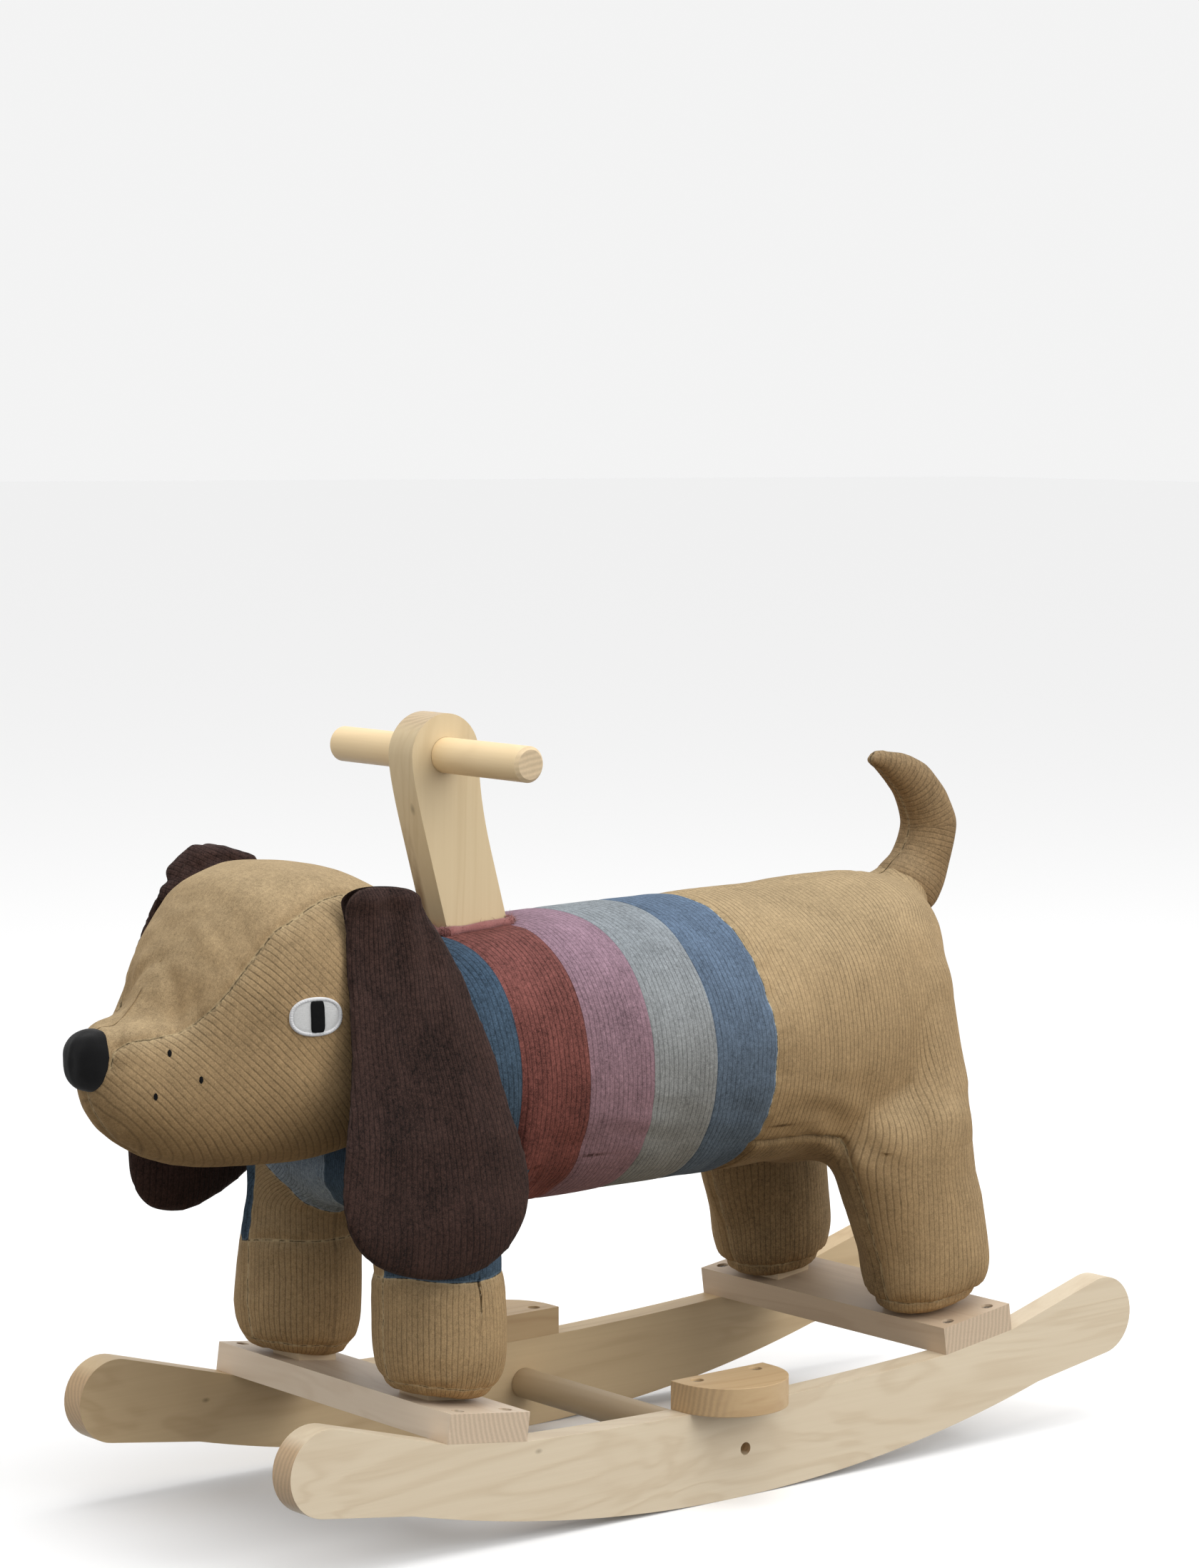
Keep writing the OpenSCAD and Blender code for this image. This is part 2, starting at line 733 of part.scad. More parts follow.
// The panel between the ears, from the nose to the neck
module head_gusset() {
  color("#a68c63") head_panel(gusset_i[0], gusset_i[1]);
}

// The panel on one side of the head, from the gusset to the throat
module head_side(side) {
  color("#a68c63") if (side > 0) head_panel(-ring_n/4, gusset_i[0]);
  else head_panel(gusset_i[1], 3*ring_n/4);
}

module head_filling() {
  color("white") difference() {
    soft(head, -skin_t - gap);
    neck_cut(-1);
  }
}

module nose() {
  color("#1b1b1d") difference() {
    translate(nose_at) sphere(d = nose_d);
    soft(head, gap);
  }
}

// Puts a flat piece on the side of the head at a height and a place along it
module on_head(side, y, z, out) {
  s = between(head, y);
  ahead = side_x(between(head, y - 6), z);
  behind = side_x(between(head, y + 6), z);
  over = side_x(s, z + 6);
  under = side_x(s, z - 6);
  mirror_x(side) translate([side_x(s, z) + out, y, z])
    rotate([0, 0, -atan2(behind - ahead, 12)]) rotate([0, -atan2(under - over, 12), 0])
      rotate([90, 0, 90]) children();
}

module oval(l, h, t) {
  linear_extrude(t) polygon([for (a = [0:15:345]) [l/2*cos(a), h/2*sin(a)]]);
}

module eye(side) {
  color("white") on_head(side, eye_at[0], eye_at[1], 2) oval(eye_len, eye_h, 1.4);
}

module pupil(side) {
  color("black") on_head(side, eye_at[0], eye_at[1], 3.5) translate([-4.5, -9, 0]) cube([9, 18, 0.8]);
}

module whisker_knots() {
  color("black") for (side = [-1, 1], k = knots_at) on_head(side, k[0], k[1], 0.8)
    cylinder(d = 4, h = 1.6);
}

// Ears and tail

// An ear hangs from its sewn edge and widens to a round lower end
module ear(side) {
  low = ear_len - ear_r;
  mid = (ear_root_y[0] + ear_root_y[1])/2;
  color("#4a3835") mirror_x(side) translate([ear_root_x, 0, ear_root_z]) rotate([0, -ear_splay, 0])
    hull() {
      translate([0, ear_root_y[1], 0]) rotate([90, 0, 0])
        cylinder(d = ear_t, h = ear_root_y[1] - ear_root_y[0], $fn = 32);
      ear_disc([mid + 13, -70], ear_r*0.78);
      ear_disc([mid + 10, -low], ear_r);
    }
}

module ear_disc(at, r) {
  for (rim = [0, 1]) translate([0, at[0], at[1]]) rotate([0, 90, 0])
    cylinder(r = r - rim*4, h = ear_t*(rim == 1 ? 1 : 0.4), center = true, $fn = 32);
}

module tail() {
  last = len(tail_plan) - 1;
  color("#a68c63") {
    translate(tail_at) sphere(r = tail_root_r);
    through([for (i = [0:last]) let (p = tail_plan[i], a = tail_plan[max(i - 1, 0)],
        b = tail_plan[min(i + 1, last)], d = [b[0] - a[0], b[1] - a[1]]/norm([b[0] - a[0], b[1] - a[1]]))
      [for (k = [0:19]) let (t = -18*k)
        [-p[2]*cos(t), p[0] - p[2]*sin(t)*d[1], back_z + p[1] + p[2]*sin(t)*d[0]]]]);
  }
}

stand() rocker(1);  // rocker_left
stand() rocker(-1);  // rocker_right
stand() cross_board(-1);  // front_board
stand() cross_board(1);  // rear_board
stand() rail();
stand() footrest(1);  // footrest_left
stand() footrest(-1);  // footrest_right
stand() board_screws();
stand() footrest_screws();
stand() rail_screws();
stand() handle_post();
stand() grip_bar();
stand() grip_pin();
stand() post_piping();
stand() spine_board();
stand() leg_bar(-1, 1);  // bar_front_left
stand() leg_bar(-1, -1);  // bar_front_right
stand() leg_bar(1, 1);  // bar_rear_left
stand() leg_bar(1, -1);  // bar_rear_right
stand() leg_bolts();
stand() leg_washers();
stand() color("silver")  // spine_screws
  spine_screw_places() wood_screw(spine_screw);
stand() post_cleats();
stand() cleat_screws();
stand() post_bolts();
stand() post_nuts();
stand() body_filling();
stand() head_filling();
stand() leg_filling();
stand() collar();
stand() stripe(0, "#8a4a44");  // stripe_red
stand() stripe(1, "#95778a");  // stripe_mauve
stand() stripe(2, "#9aa3a2");  // stripe_grey
stand() stripe(3, "#5f7690");  // stripe_slate
stand() rump();
stand() leg_front(1);  // leg_front_left
stand() leg_front(-1);  // leg_front_right
stand() leg_rear(1);  // leg_rear_left
stand() leg_rear(-1);  // leg_rear_right
stand() sleeve(1);  // sleeve_left
stand() sleeve(-1);  // sleeve_right
stand() paw_soles();
stand() head_gusset();
stand() head_side(1);  // head_side_left
stand() head_side(-1);  // head_side_right
stand() nose();
stand() eye(1);  // eye_left
stand() eye(-1);  // eye_right
stand() pupil(1);  // pupil_left
stand() pupil(-1);  // pupil_right
stand() whisker_knots();
stand() ear(1);  // ear_left
stand() ear(-1);  // ear_right
stand() tail();
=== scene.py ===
"""Looks of the plush dog rocking toy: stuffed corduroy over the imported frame, turned and sawn wood, studio."""

import json
import math
import random

import bmesh
import bpy
import numpy as np
from mathutils import Matrix, Vector, noise
from mathutils.bvhtree import BVHTree
from mathutils.kdtree import KDTree

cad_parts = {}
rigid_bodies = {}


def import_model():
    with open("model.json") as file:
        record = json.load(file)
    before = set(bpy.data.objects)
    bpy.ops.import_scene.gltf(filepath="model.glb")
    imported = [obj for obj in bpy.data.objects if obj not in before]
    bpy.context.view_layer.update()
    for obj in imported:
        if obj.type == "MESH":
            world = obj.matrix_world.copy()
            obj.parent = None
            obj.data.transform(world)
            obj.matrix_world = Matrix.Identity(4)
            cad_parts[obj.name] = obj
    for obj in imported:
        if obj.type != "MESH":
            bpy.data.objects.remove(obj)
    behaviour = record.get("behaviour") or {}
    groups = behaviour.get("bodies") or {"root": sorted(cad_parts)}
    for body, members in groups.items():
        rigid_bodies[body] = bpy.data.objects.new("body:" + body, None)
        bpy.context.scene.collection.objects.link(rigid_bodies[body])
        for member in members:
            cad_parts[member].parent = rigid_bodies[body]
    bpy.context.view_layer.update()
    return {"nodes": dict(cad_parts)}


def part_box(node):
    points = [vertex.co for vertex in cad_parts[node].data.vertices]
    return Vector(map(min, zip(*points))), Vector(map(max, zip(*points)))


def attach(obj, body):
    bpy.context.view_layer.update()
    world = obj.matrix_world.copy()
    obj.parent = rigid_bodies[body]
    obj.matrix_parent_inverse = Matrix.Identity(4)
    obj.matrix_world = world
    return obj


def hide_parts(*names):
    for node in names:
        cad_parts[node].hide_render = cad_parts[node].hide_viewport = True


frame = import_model()
nodes = frame["nodes"]
random.seed(7)

# The toy's own frame: the rockers' middle at y 0, before the whole toy leans on its nose
LEAN = math.radians(0.6)
ARC_R = 1.040           # radius of the rockers' lower edge
RAIL_Z = 0.030          # height of the rail's middle
rail_lo, rail_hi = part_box("rail")
STAND = Matrix.Translation((0, (rail_lo.y + rail_hi.y) / 2 + (RAIL_Z - ARC_R) * math.sin(LEAN), ARC_R)) \
    @ Matrix.Rotation(LEAN, 4, "X") @ Matrix.Translation((0, 0, -ARC_R))
UNSTAND = np.array(STAND.inverted())


def own(co):
    """World positions as an array, in the toy's own frame."""
    return co @ UNSTAND[:3, :3].T + UNSTAND[:3, 3]


def world(co):
    """Positions in the toy's own frame, in the world."""
    m = np.array(STAND)
    return co @ m[:3, :3].T + m[:3, 3]


# ---------------------------------------------------------------- mesh helpers
def coords(me):
    co = np.empty(len(me.vertices) * 3, np.float32)
    me.vertices.foreach_get("co", co)
    return co.reshape(-1, 3).astype(float)


def set_coords(me, co):
    me.vertices.foreach_set("co", np.ascontiguousarray(co, np.float32).ravel())
    me.update()


def normals(me):
    n = np.empty(len(me.vertices) * 3, np.float32)
    me.vertex_normals.foreach_get("vector", n)
    return n.reshape(-1, 3).astype(float)


def edges(me):
    e = np.empty(len(me.edges) * 2, np.int32)
    me.edges.foreach_get("vertices", e)
    return e.reshape(-1, 2)


def relax(co, e, times, amount=0.5, keep=None):
    """Moves each point towards the middle of its neighbours, less where keep is near 1."""
    count = np.zeros(len(co))
    np.add.at(count, e.ravel(), 1)
    free = 1 if keep is None else (1 - keep)[:, None]
    for _ in range(times):
        s = np.zeros_like(co)
        np.add.at(s, e[:, 0], co[e[:, 1]])
        np.add.at(s, e[:, 1], co[e[:, 0]])
        co = co + amount * free * (s / np.maximum(count, 1)[:, None] - co)
    return co


def smooth(v, lo, hi):
    """0 below lo, 1 above hi, and a soft step between."""
    t = np.clip((v - lo) / (hi - lo), 0, 1)
    return t * t * (3 - 2 * t)


def bell(v, width):
    """1 where v is 0, falling off over width."""
    return np.exp(-(v / width) ** 2)


def rough(x, y, z):
    """Smooth noise at places given as arrays or single values."""
    return np.array([noise.noise(Vector(p)) for p in np.stack(np.broadcast_arrays(x, y, z), 1)])


def attribute(me, name, values):
    a = me.attributes.new(name, "FLOAT", "POINT")
    a.data.foreach_set("value", np.ascontiguousarray(values, np.float32))


def to_mesh(bm, name):
    """A new mesh from bm, which is freed."""
    me = bpy.data.meshes.new(name)
    bm.to_mesh(me)
    bm.free()
    return me


def shell(name, verts, faces, merge=0.0, **values):
    """A mesh of the faces turned outwards, with point values and with points nearer than merge joined."""
    me = bpy.data.meshes.new(name)
    me.from_pydata(verts, [], faces)
    for k, vals in values.items():
        attribute(me, k, vals)
    bm = bmesh.new()
    bm.from_mesh(me)
    if merge:
        bmesh.ops.remove_doubles(bm, verts=bm.verts, dist=merge)
    bmesh.ops.recalc_face_normals(bm, faces=bm.faces)
    bm.to_mesh(me)
    bm.free()
    return me


def tube_faces(rings, around):
    """Faces of a closed ring of rings."""
    faces = []
    for i in range(rings):
        for k in range(around):
            a, b = (i + 1) % rings, (k + 1) % around
            faces.append([i * around + k, i * around + b, a * around + b, a * around + k])
    return faces


def new_object(name, me):
    o = bpy.data.objects.new(name, me)
    bpy.context.scene.collection.objects.link(o)
    return o


def applied(o):
    """o with its modifiers applied."""
    dg = bpy.context.evaluated_depsgraph_get()
    me = bpy.data.meshes.new_from_object(o.evaluated_get(dg))
    o.modifiers.clear()
    old, o.data = o.data, me
    bpy.data.meshes.remove(old)
    me.name = o.name
    return o


def joined(name, which):
    """One object with copies of the meshes of several CAD nodes."""
    bm = bmesh.new()
    for n in which:
        bm.from_mesh(nodes[n].data)
    bmesh.ops.remove_doubles(bm, verts=bm.verts, dist=1e-6)
    return new_object(name, to_mesh(bm, name))


def remeshed(o, voxel, rounds):
    """Closes o over gaps and steps smaller than a voxel, and softens it."""
    m = o.modifiers.new("voxel", "REMESH")
    m.mode = "VOXEL"
    m.voxel_size = voxel
    applied(o)
    me = o.data
    set_coords(me, relax(coords(me), edges(me), rounds))
    return o


def inflated(o, pins, cap, pressure=4.0, frames=20):
    """Blows the skin up between its pinned seams, by cap metres at the most."""
    me = o.data
    rest = coords(me)
    g = o.vertex_groups.new(name="pin")
    for i in np.nonzero(pins > 0.02)[0]:
        g.add([int(i)], float(pins[i]), "REPLACE")
    m = o.modifiers.new("cloth", "CLOTH")
    s = m.settings
    s.quality = 4
    s.mass = 0.4
    s.tension_stiffness = s.compression_stiffness = 18
    s.shear_stiffness = 8
    s.bending_stiffness = 0.6
    s.air_damping = 4
    s.use_pressure = True
    s.uniform_pressure_force = pressure
    s.vertex_group_mass = "pin"
    s.pin_stiffness = 1
    s.effector_weights.gravity = 0
    m.collision_settings.use_collision = False
    m.point_cache.frame_end = frames
    sc = bpy.context.scene
    for f in range(1, frames + 1):
        sc.frame_set(f)
    dg = bpy.context.evaluated_depsgraph_get()
    ev = o.evaluated_get(dg)
    co = coords(ev.data)
    o.modifiers.clear()
    sc.frame_set(1)
    d = co - rest
    far = np.linalg.norm(d, axis=1)
    d *= (np.minimum(far, cap) / np.maximum(far, 1e-9))[:, None]
    set_coords(me, rest + d)
    return o


def cut(bm, field):
    """Cuts the mesh along field = 0, so that edges lie on that line."""
    co = np.array([v.co for v in bm.verts], float)
    f = field(co)
    f = np.where(np.abs(f) < 2e-5, 2e-5, f)
    bm.verts.ensure_lookup_table()
    bm.verts.index_update()
    made = []
    for e in list(bm.edges):
        a, b = e.verts
        fa, fb = f[a.index], f[b.index]
        if fa * fb < 0:
            made.append((e, a, fa / (fa - fb)))
    new = [bmesh.utils.edge_split(e, a, t)[1] for e, a, t in made]
    if new:
        bmesh.ops.connect_verts(bm, verts=new)


def opened(o, fields):
    """o's mesh in the toy's own frame, cut along the fields, with its points and normals. o goes."""
    bm = bmesh.new()
    bm.from_mesh(o.data)
    bpy.data.objects.remove(o)
    for v in bm.verts:
        v.co = STAND.inverted() @ v.co
    for field in fields:
        cut(bm, field)
    bm.verts.ensure_lookup_table()
    bm.faces.ensure_lookup_table()
    return bm, np.array([v.co for v in bm.verts], float), np.array([v.normal for v in bm.verts], float)


def face_centres(bm):
    return np.array([f.calc_center_median() for f in bm.faces], float)


def closed(bm, points, **values):
    """Puts the points back in the world, with the values that the cloth materials read."""
    for v, p in zip(bm.verts, points):
        v.co = STAND @ Vector(p)
    for name, vals in values.items():
        layer = bm.verts.layers.float.new(name)
        for v, a in zip(bm.verts, np.broadcast_to(vals, len(points))):
            v[layer] = a


def nearest(points, to):
    """Distance from each point to the nearest of to."""
    t = KDTree(len(to))
    for i, p in enumerate(to):
        t.insert(p, i)
    t.balance()
    return np.array([t.find(p)[2] for p in points])


def extract(bm, names, which, name, mat, body, stands_for):
    """A new object with the faces of one region."""
    part = bm.copy()
    part.faces.ensure_lookup_table()
    out = [part.faces[i] for i, n in enumerate(names) if n != which]
    bmesh.ops.delete(part, geom=out, context="FACES")
    return finish_piece(new_object(name, to_mesh(part, name)), mat, body, stands_for)


def finish_piece(o, mat, body, stands_for):
    o.data.materials.clear()
    o.data.materials.append(mat)
    o.data.shade_smooth()
    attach(o, body)
    if stands_for:
        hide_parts(*stands_for)
    return o


# ---------------------------------------------------------------- materials
class Nodes:
    """Short names for building a node tree."""

    def __init__(self, name):
        self.mat = bpy.data.materials.new(name)
        self.mat.use_nodes = True
        self.tree = self.mat.node_tree
        self.shader = self.tree.nodes["Principled BSDF"]

    def add(self, kind, **sets):
        n = self.tree.nodes.new(kind)
        for k, v in sets.items():
            setattr(n, k, v)
        return n

    def link(self, a, b):
        self.tree.links.new(a, b)

    def put(self, socket, value):
        if isinstance(value, bpy.types.NodeSocket):
            self.link(value, socket)
        else:
            socket.default_value = value

    def math(self, op, a, b=None, clamp=False):
        n = self.add("ShaderNodeMath", operation=op, use_clamp=clamp)
        self.put(n.inputs[0], a)
        if b is not None:
            self.put(n.inputs[1], b)
        return n.outputs[0]

    def plus(self, a, b, clamp=False):
        return self.math("ADD", a, b, clamp)

    def less(self, a, b, clamp=False):
        return self.math("SUBTRACT", a, b, clamp)

    def times(self, a, *rest, clamp=False):
        for b in rest:
            a = self.math("MULTIPLY", a, b, clamp)
        return a

    def over(self, a, b):
        return self.math("DIVIDE", a, b)

    def size(self, a):
        return self.math("ABSOLUTE", a)

    def axes(self, vector):
        """A vector's X, Y and Z outputs."""
        n = self.add("ShaderNodeSeparateXYZ")
        self.link(vector, n.inputs[0])
        return n.outputs

    def set(self, **values):
        """Sets the shader's inputs, named with _ for spaces, to a value or a link."""
        for k, v in values.items():
            self.put(self.shader.inputs[k.replace("_", " ")], v)

    def attr(self, name):
        return self.add("ShaderNodeAttribute", attribute_name=name).outputs["Fac"]

    def place(self, scale=(1, 1, 1), turn=(0, 0, 0)):
        c = self.add("ShaderNodeTexCoord").outputs["Object"]
        m = self.add("ShaderNodeMapping")
        self.link(c, m.inputs["Vector"])
        m.inputs["Scale"].default_value = scale
        m.inputs["Rotation"].default_value = turn
        return m.outputs[0]

    def noise(self, at, scale, detail=3.0, rough=0.5, distort=0.0):
        n = self.add("ShaderNodeTexNoise")
        self.link(at, n.inputs["Vector"])
        n.inputs["Scale"].default_value = scale
        n.inputs["Detail"].default_value = detail
        n.inputs["Roughness"].default_value = rough
        n.inputs["Distortion"].default_value = distort
        return n.outputs["Fac"]

    def ramp(self, fac, *stops):
        n = self.add("ShaderNodeValToRGB")
        self.link(fac, n.inputs["Fac"])
        el = n.color_ramp.elements
        while len(el) < len(stops):
            el.new(0.5)
        for e, (p, c) in zip(el, stops):
            e.position = p
            e.color = (*c, 1) if hasattr(c, "__len__") else (c, c, c, 1)
        return n.outputs["Color"]

    def mix(self, fac, a, b, blend="MIX"):
        n = self.add("ShaderNodeMix", data_type="RGBA", blend_type=blend)
        n.clamp_factor = True
        self.put(n.inputs["Factor"], fac)
        for s, v in ((n.inputs["A"], a), (n.inputs["B"], b)):
            self.put(s, (*v, 1) if isinstance(v, tuple) and len(v) == 3 else v)
        return n.outputs["Result"]

    def bump(self, height, distance, strength=1.0, under=None):
        n = self.add("ShaderNodeBump")
        n.inputs["Strength"].default_value = strength
        n.inputs["Distance"].default_value = distance
        self.link(height, n.inputs["Height"])
        if under is not None:
            self.link(under, n.inputs["Normal"])
        return n.outputs[0]


def tint(c, k):
    return tuple(min(1.0, v * k) for v in c)


def corduroy(name, colour, seam, ribs=1.0, wear=0.5, sheen=0.22, contrast=0.40):
    """Ribbed velvet: flat ribs along the wale attribute with narrow grooves between them, painted shade in the
    grooves and a painted highlight along the ribs' edges, a fine weave, brushed nap that comes and goes, picked
    threads, a worn line with dark stitches along the seams, painted shade where the shade attribute is set, and
    painted light and shade by which way the surface faces."""
    n = Nodes(name)
    at = n.place()
    warp = n.times(n.less(n.noise(at, 38, 2.0), 0.5), 0.0022)
    rib = n.size(n.math("SINE", n.times(n.plus(n.attr("wale"), warp), math.pi / RIB_PITCH)))
    # painted shade in the grooves between the ribs, and a painted highlight along the ribs' edges
    groove_shade = n.less(1.0, n.over(rib, 0.50), clamp=True)
    rib_highlight = n.less(1.0, n.times(n.size(n.less(rib, 0.66)), 6.0), clamp=True)
    weave = n.noise(at, 1500, 2.0, 0.6)
    grain = n.noise(at, 420, 3.0, 0.7)
    nap = n.noise(at, 15, 4.0, 0.55, 0.6)
    cloud = n.noise(n.place((1.6, 1.6, 0.7)), 50, 5.0, 0.65, 0.4)
    fade = n.ramp(n.noise(at, 26, 3.0, 0.6), (0.30, 0.45), (0.62, 1.0))
    depth = n.times(n.attr("ribbed"), ribs, fade)
    tone = n.times(n.less(nap, 0.5), 0.95)
    for pattern, share in ((cloud, 0.80), (weave, 1.80), (grain, 1.60)):
        tone = n.plus(tone, n.times(n.less(pattern, 0.5), share))
    # painted shade: darker where the shade attribute is set
    tone = n.less(n.plus(n.times(tone, wear), 1.0), n.attr("shade"))
    tone = n.times(tone, n.less(1.0, n.times(groove_shade, depth, contrast)))
    tone = n.times(tone, n.plus(1.0, n.times(rib_highlight, depth, 0.10)))
    picked = n.ramp(n.noise(n.place((1, 1, 0.35)), 330, 3.0, 0.75), (0.70, 0.0), (0.80, 1.0))
    tone = n.plus(tone, n.times(picked, rib_highlight, 0.35 * wear))
    grey = n.add("ShaderNodeCombineColor")
    for s in grey.inputs[:3]:
        n.link(tone, s)
    # painted light and shade: the pile's colour is painted paler where it faces up, as if catching the light
    # from above, and deeper where it faces down
    facing = n.axes(n.add("ShaderNodeNewGeometry").outputs["Normal"])
    up = n.plus(n.times(facing[2], 0.5), 0.5, clamp=True)
    painted_shade_colour = tuple(c * k for c, k in zip(colour, (0.96, 0.82, 0.64)))
    painted_light_colour = tuple(c * k for c, k in zip(colour, (1.08, 1.17, 1.30)))
    col = n.mix(1.0, n.mix(up, painted_shade_colour, painted_light_colour), grey.outputs[0], "MULTIPLY")
    d = n.plus(n.attr("seam"), n.times(n.less(n.noise(at, 600, 2.0), 0.5), 0.0010))
    line = n.less(1.0, n.over(d, 0.0015), clamp=True)
    col = n.mix(n.times(line, 0.50), col, seam)
    core = n.less(1.0, n.over(d, 0.0007), clamp=True)
    dash = n.ramp(n.noise(at, 260, 1.0, 0.4), (0.40, 0.0), (0.52, 1.0))
    col = n.mix(n.times(core, dash, 0.9), col, tint(colour, 0.14))
    b = n.bump(n.times(n.math("MINIMUM", rib, 0.62), depth), 0.0007, 0.8)
    b = n.bump(cloud, 0.0011, 0.35, b)
    b = n.bump(grain, 0.0003, 0.5, b)
    b = n.bump(weave, 0.00015, 0.6, b)
    n.set(Base_Color=col, Roughness=0.92, Specular_IOR_Level=0.15, Sheen_Weight=sheen, Sheen_Roughness=0.45,
          Sheen_Tint=(*tint(colour, 1.6), 1), Normal=b)
    return n.mat


def end_grain(n, along, i, ends):
    """How far the surface faces along the grain, and the rings that show there."""
    normal = n.axes(n.add("ShaderNodeTexCoord").outputs["Normal"])
    face = n.times(n.less(n.size(normal[i]), 0.55), 4.0, clamp=True)
    w = n.add("ShaderNodeTexWave", wave_type="RINGS")
    w.rings_direction = along
    m = n.add("ShaderNodeMapping")
    n.link(n.add("ShaderNodeTexCoord").outputs["Object"], m.inputs["Vector"])
    # the heart of the tree lies beside the board
    m.inputs["Location"].default_value = [(0, 0.05, -0.10), (0.04, 0, -0.10), (0.04, 0.05, 0)][i]
    n.link(m.outputs[0], w.inputs["Vector"])
    w.inputs["Scale"].default_value = 90
    w.inputs["Distortion"].default_value = 2.5
    w.inputs["Detail Scale"].default_value = 0.6
    speck = n.noise(n.place((900, 900, 900)), 1.0, 2.0, 0.7)
    ring = n.plus(n.times(w.outputs["Fac"], 0.45), n.times(speck, 0.55))
    return face, n.mix(ring, tint(ends, 1.12), tint(ends, 0.72))


def timber(name, light, dark, along, figure, ends=None, knots=0.0, stain=None):
    """Lacquered wood with its grain along one axis, end grain where the surface faces along it."""
    n = Nodes(name)
    i = "XYZ".index(along)

    def stretched(across, lengthways):
        return n.place(tuple(lengthways if k == i else across for k in range(3)))

    bend = n.noise(n.place((2.5, 2.5, 2.5)), 1.0, 2.0)
    shifted = n.add("ShaderNodeVectorMath", operation="ADD")
    n.link(stretched(9.0, 0.8), shifted.inputs[0])
    n.link(bend, shifted.inputs[1])
    rings = n.noise(shifted.outputs[0], 2.2, 3.0, 0.55, 0.5)
    bands = n.times(n.plus(n.math("SINE", n.times(rings, 46.0)), 1.0), 0.5)
    bands = n.math("POWER", bands, 3.0)
    pores = n.noise(stretched(420.0, 9.0), 1.0, 3.0, 0.6)
    cloud = n.noise(stretched(4.5, 0.4), 1.6, 3.0)
    f = n.plus(n.times(bands, 0.30 * figure), n.times(pores, 0.34 * figure))
    f = n.plus(f, n.times(n.less(cloud, 0.35), 0.8 * figure), clamp=True)
    col = n.mix(f, light, dark)
    if knots:
        v = n.add("ShaderNodeTexVoronoi", feature="F1")
        n.link(stretched(26.0, 14.0), v.inputs["Vector"])
        v.inputs["Scale"].default_value = 1.0
        spot = n.less(1.0, n.over(v.outputs["Distance"], knots), clamp=True)
        col = n.mix(n.times(spot, 0.75), col, tint(dark, 0.35))
    if ends:
        face, rings_across = end_grain(n, along, i, ends)
        col = n.mix(face, col, rings_across)
    if stain:
        lo, hi, colour = stain
        place = n.axes(n.add("ShaderNodeTexCoord").outputs["Object"])
        near = 0.0
        for axis in range(3):
            mid, half = (lo[axis] + hi[axis]) / 2, (hi[axis] - lo[axis]) / 2
            near = n.math("MAXIMUM", near, n.over(n.size(n.less(place[axis], mid)), half))
        blot = n.ramp(n.noise(n.place((60, 60, 25)), 1.0, 4.0, 0.6), (0.35, 0.0), (0.62, 1.0))
        col = n.mix(n.times(n.less(1.25, near, clamp=True), blot), col, colour)
    n.set(Base_Color=col, Roughness=n.plus(n.times(pores, 0.22), 0.42), Specular_IOR_Level=0.35,
          Coat_Weight=0.12, Coat_Roughness=0.3, Normal=n.bump(bands, 0.0002, 0.25, n.bump(pores, 0.0002, 0.35)))
    return n.mat


def metal(name, colour, roughness):
    n = Nodes(name)
    spot = n.noise(n.place(), 900, 3.0, 0.7)
    n.set(Base_Color=n.mix(spot, tint(colour, 0.62), colour), Metallic=1.0,
          Roughness=n.plus(n.times(spot, 0.3), roughness), Normal=n.bump(spot, 0.0001, 0.3))
    return n.mat


def thread(name, colour, rows=1400.0, sheen=0.15, specular=0.5):
    """Satin stitch: close threads across the patch."""
    n = Nodes(name)
    w = n.add("ShaderNodeTexWave", bands_direction="Z")
    n.link(n.place((0.25, 0.25, 1.0)), w.inputs["Vector"])
    w.inputs["Scale"].default_value = rows
    w.inputs["Distortion"].default_value = 5.0
    w.inputs["Detail Scale"].default_value = 2.0
    fluff = n.noise(n.place(), 900, 3.0, 0.7)
    f = n.plus(n.times(w.outputs["Fac"], 0.45), n.times(fluff, 0.55))
    n.set(Base_Color=n.mix(f, tint(colour, 0.68), colour), Roughness=0.7, Sheen_Weight=sheen,
          Specular_IOR_Level=specular, Normal=n.bump(f, 0.0004, 0.8))
    return n.mat


def felt(name, colour, low=0.6, size=1200.0, depth=0.0004, sheen=0.3):
    n = Nodes(name)
    at = n.place()
    f = n.plus(n.times(n.noise(at, size, 4.0, 0.75), 0.6), n.times(n.noise(at, size / 9, 3.0), 0.4))
    n.set(Base_Color=n.mix(f, tint(colour, low), tint(colour, 1.25)), Roughness=0.95, Specular_IOR_Level=0.15,
          Sheen_Weight=sheen, Sheen_Roughness=0.5, Normal=n.bump(f, depth, 0.8))
    return n.mat


